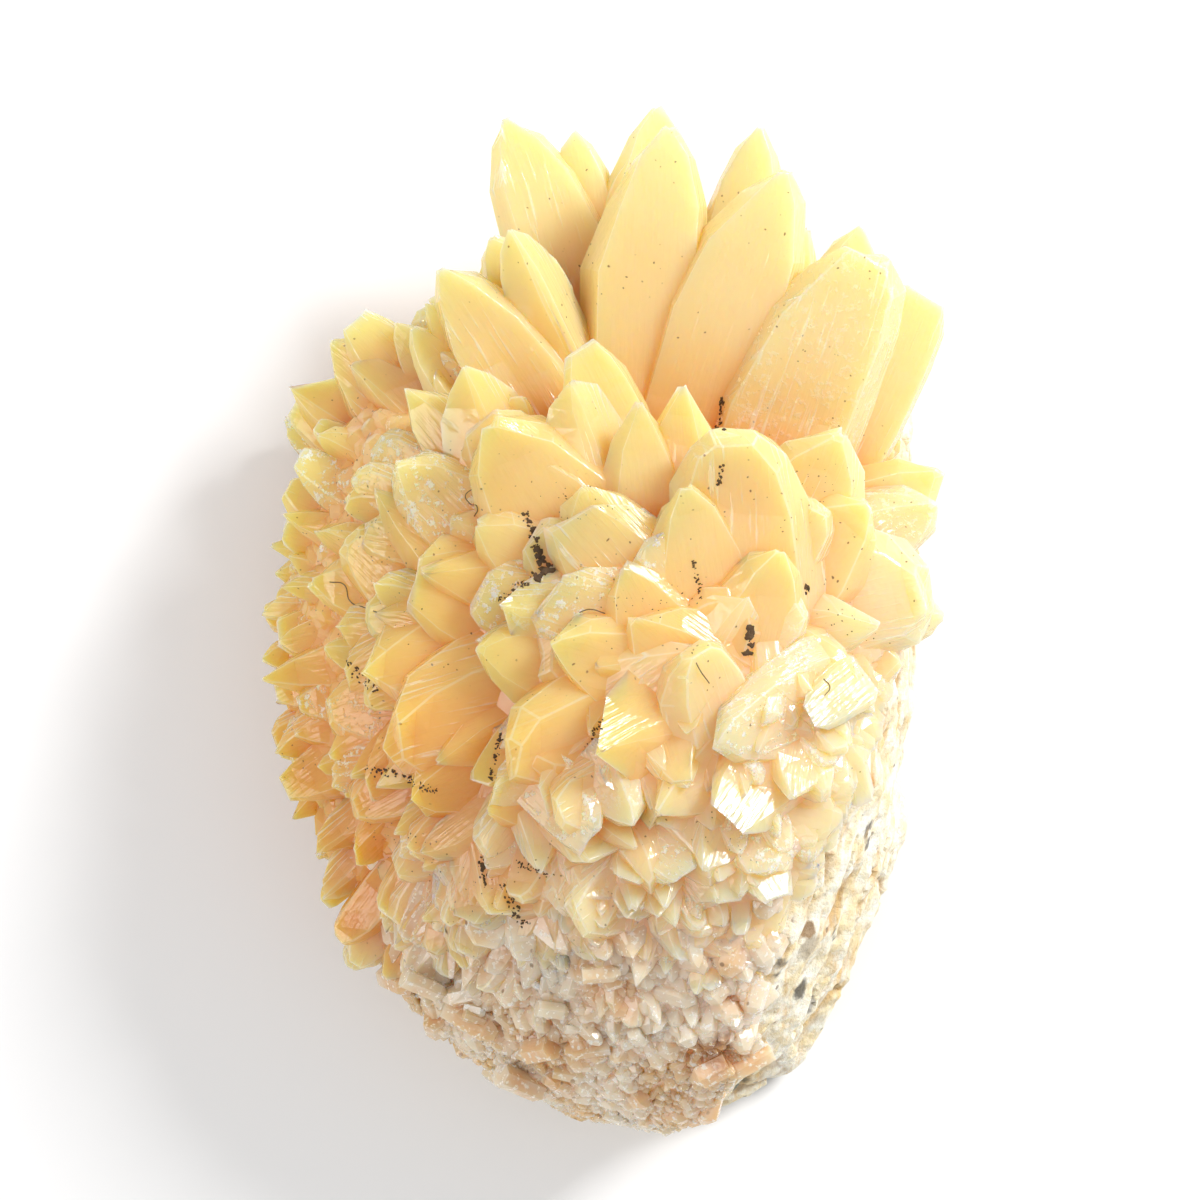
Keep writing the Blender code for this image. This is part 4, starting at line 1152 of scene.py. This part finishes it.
# %% Fibres
FIBRES = [
    [(485, 492), (474, 492), (468, 498), (472, 505), (480, 510), (477, 518)],
    [(330, 582), (345, 585), (350, 600), (365, 607), (380, 612)],
    [(580, 612), (590, 609), (605, 613)], [(688, 650), (694, 664), (705, 680)],
    [(816, 676), (822, 684), (817, 692)]]
FIBRE_RADIUS = 0.035
FIBRE_LIFT = 0.12
fibres = []
for index, route in enumerate(FIBRES):
    curve = bpy.data.curves.new("fibre", "CURVE")
    curve.dimensions = "3D"
    curve.bevel_depth = FIBRE_RADIUS * MM
    curve.bevel_resolution = 1
    curve.use_fill_caps = True
    spline = curve.splines.new("BEZIER")
    spline.bezier_points.add(len(route) - 1)
    for point, (across, down) in zip(spline.bezier_points, route):
        point.co = on_calcite(across, down, FIBRE_LIFT) * MM
        point.handle_left_type = point.handle_right_type = "AUTO"
    fibre = bpy.data.objects.new(f"lint_fibre_{index + 1}", curve)
    bpy.context.scene.collection.objects.link(fibre)
    pick(fibre)
    bpy.ops.object.convert(target="MESH")
    fibres.append(bpy.context.object)
print(len(fibres), "fibres")

# %% Dirt and lint finishes
earth = bpy.data.materials.new("dark_earth")
finish = Finish(earth)
finish.set(Base_Color=finish.mix(finish.noise(1.5, 3.0), (0.03, 0.016, 0.008), (0.13, 0.07, 0.025)),
           Roughness=0.7 + 0.2 * finish.noise(2.0, 2.0), Normal=finish.bump(finish.noise(6.0, 3.0), 0.05))
dirt.data.materials.append(earth)
lint = bpy.data.materials.new("brown_lint")
finish = Finish(lint)
finish.set(Base_Color=finish.mix(finish.noise(2.0, 2.0), (0.10, 0.06, 0.03), (0.20, 0.13, 0.06)),
           Roughness=0.6 + 0.2 * finish.noise(3.0, 2.0))
for fibre in fibres:
    fibre.data.materials.append(lint)
print("dirt and lint ready")

# %% [markdown]
# ## Joining the frame
#
# Every piece rides on the one body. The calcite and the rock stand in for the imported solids.

# %% Ride, replace and finish slots
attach(calcite, "root")
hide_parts("calcite_crystals")
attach(rock, "root")
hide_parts("rock_matrix")
for piece in [dirt] + fibres:
    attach(piece, "root")
print("pieces on the body:", 3 + len(fibres))

# %% [markdown]
# ## Floor, light and camera
#
# The floor and the room are plain and pale. The camera looks straight down from far away, and a soft
# window light from the upper right gives the crystals their glints. Light is followed for a few bounces
# only, which keeps the render short.

# %% Floor, light and camera
FLOOR_SIZE = 4.0
bpy.ops.mesh.primitive_plane_add(size=FLOOR_SIZE)
floor = bpy.context.object
floor.name = "pale_floor"
floor_finish = bpy.data.materials.new("pale_floor")
floor.data.materials.append(floor_finish)
paper = Finish(floor_finish)
paper.set(Base_Color=(0.93, 0.93, 0.93), Roughness=0.9)

TARGET = Vector((-0.125, 1.125, 16.0)) * MM
CAMERA_AWAY = 0.3
LENS = 144.0
SENSOR = 36.0
NEAREST = 0.01
ROOM_LIGHT = 0.58
Window = namedtuple("Window", "name place size power")
WINDOWS = [
    Window("window", (0.38, 0.30, 0.34), 0.18, 3.5),
    Window("soft_left", (-0.40, -0.10, 0.40), 0.3, 1.0)]


def aim(thing, target):
    """Points a light or a camera at a place."""
    thing.rotation_euler = (target - thing.location).to_track_quat("-Z", "Y").to_euler()


camera = bpy.data.objects.new("camera", bpy.data.cameras.new("camera"))
bpy.context.scene.collection.objects.link(camera)
camera.data.lens = LENS
camera.data.sensor_width = SENSOR
camera.data.clip_start = NEAREST
camera.location = TARGET + Vector((0.0, 0.0, CAMERA_AWAY))
bpy.context.scene.camera = camera

for window in WINDOWS:
    light = bpy.data.objects.new(window.name, bpy.data.lights.new(window.name, "AREA"))
    light.data.size = window.size
    light.data.energy = window.power
    light.location = window.place
    aim(light, TARGET)
    bpy.context.scene.collection.objects.link(light)

world = bpy.data.worlds.new("soft_room")
bpy.context.scene.world = world
world.use_nodes = True
background = world.node_tree.nodes["Background"].inputs
background["Color"].default_value = (1.0, 1.0, 1.0, 1.0)
background["Strength"].default_value = ROOM_LIGHT
bpy.context.scene.view_settings.view_transform = "Standard"
cycles = bpy.context.scene.cycles
cycles.max_bounces = 5
cycles.diffuse_bounces = 3
cycles.glossy_bounces = 2
cycles.transmission_bounces = 3
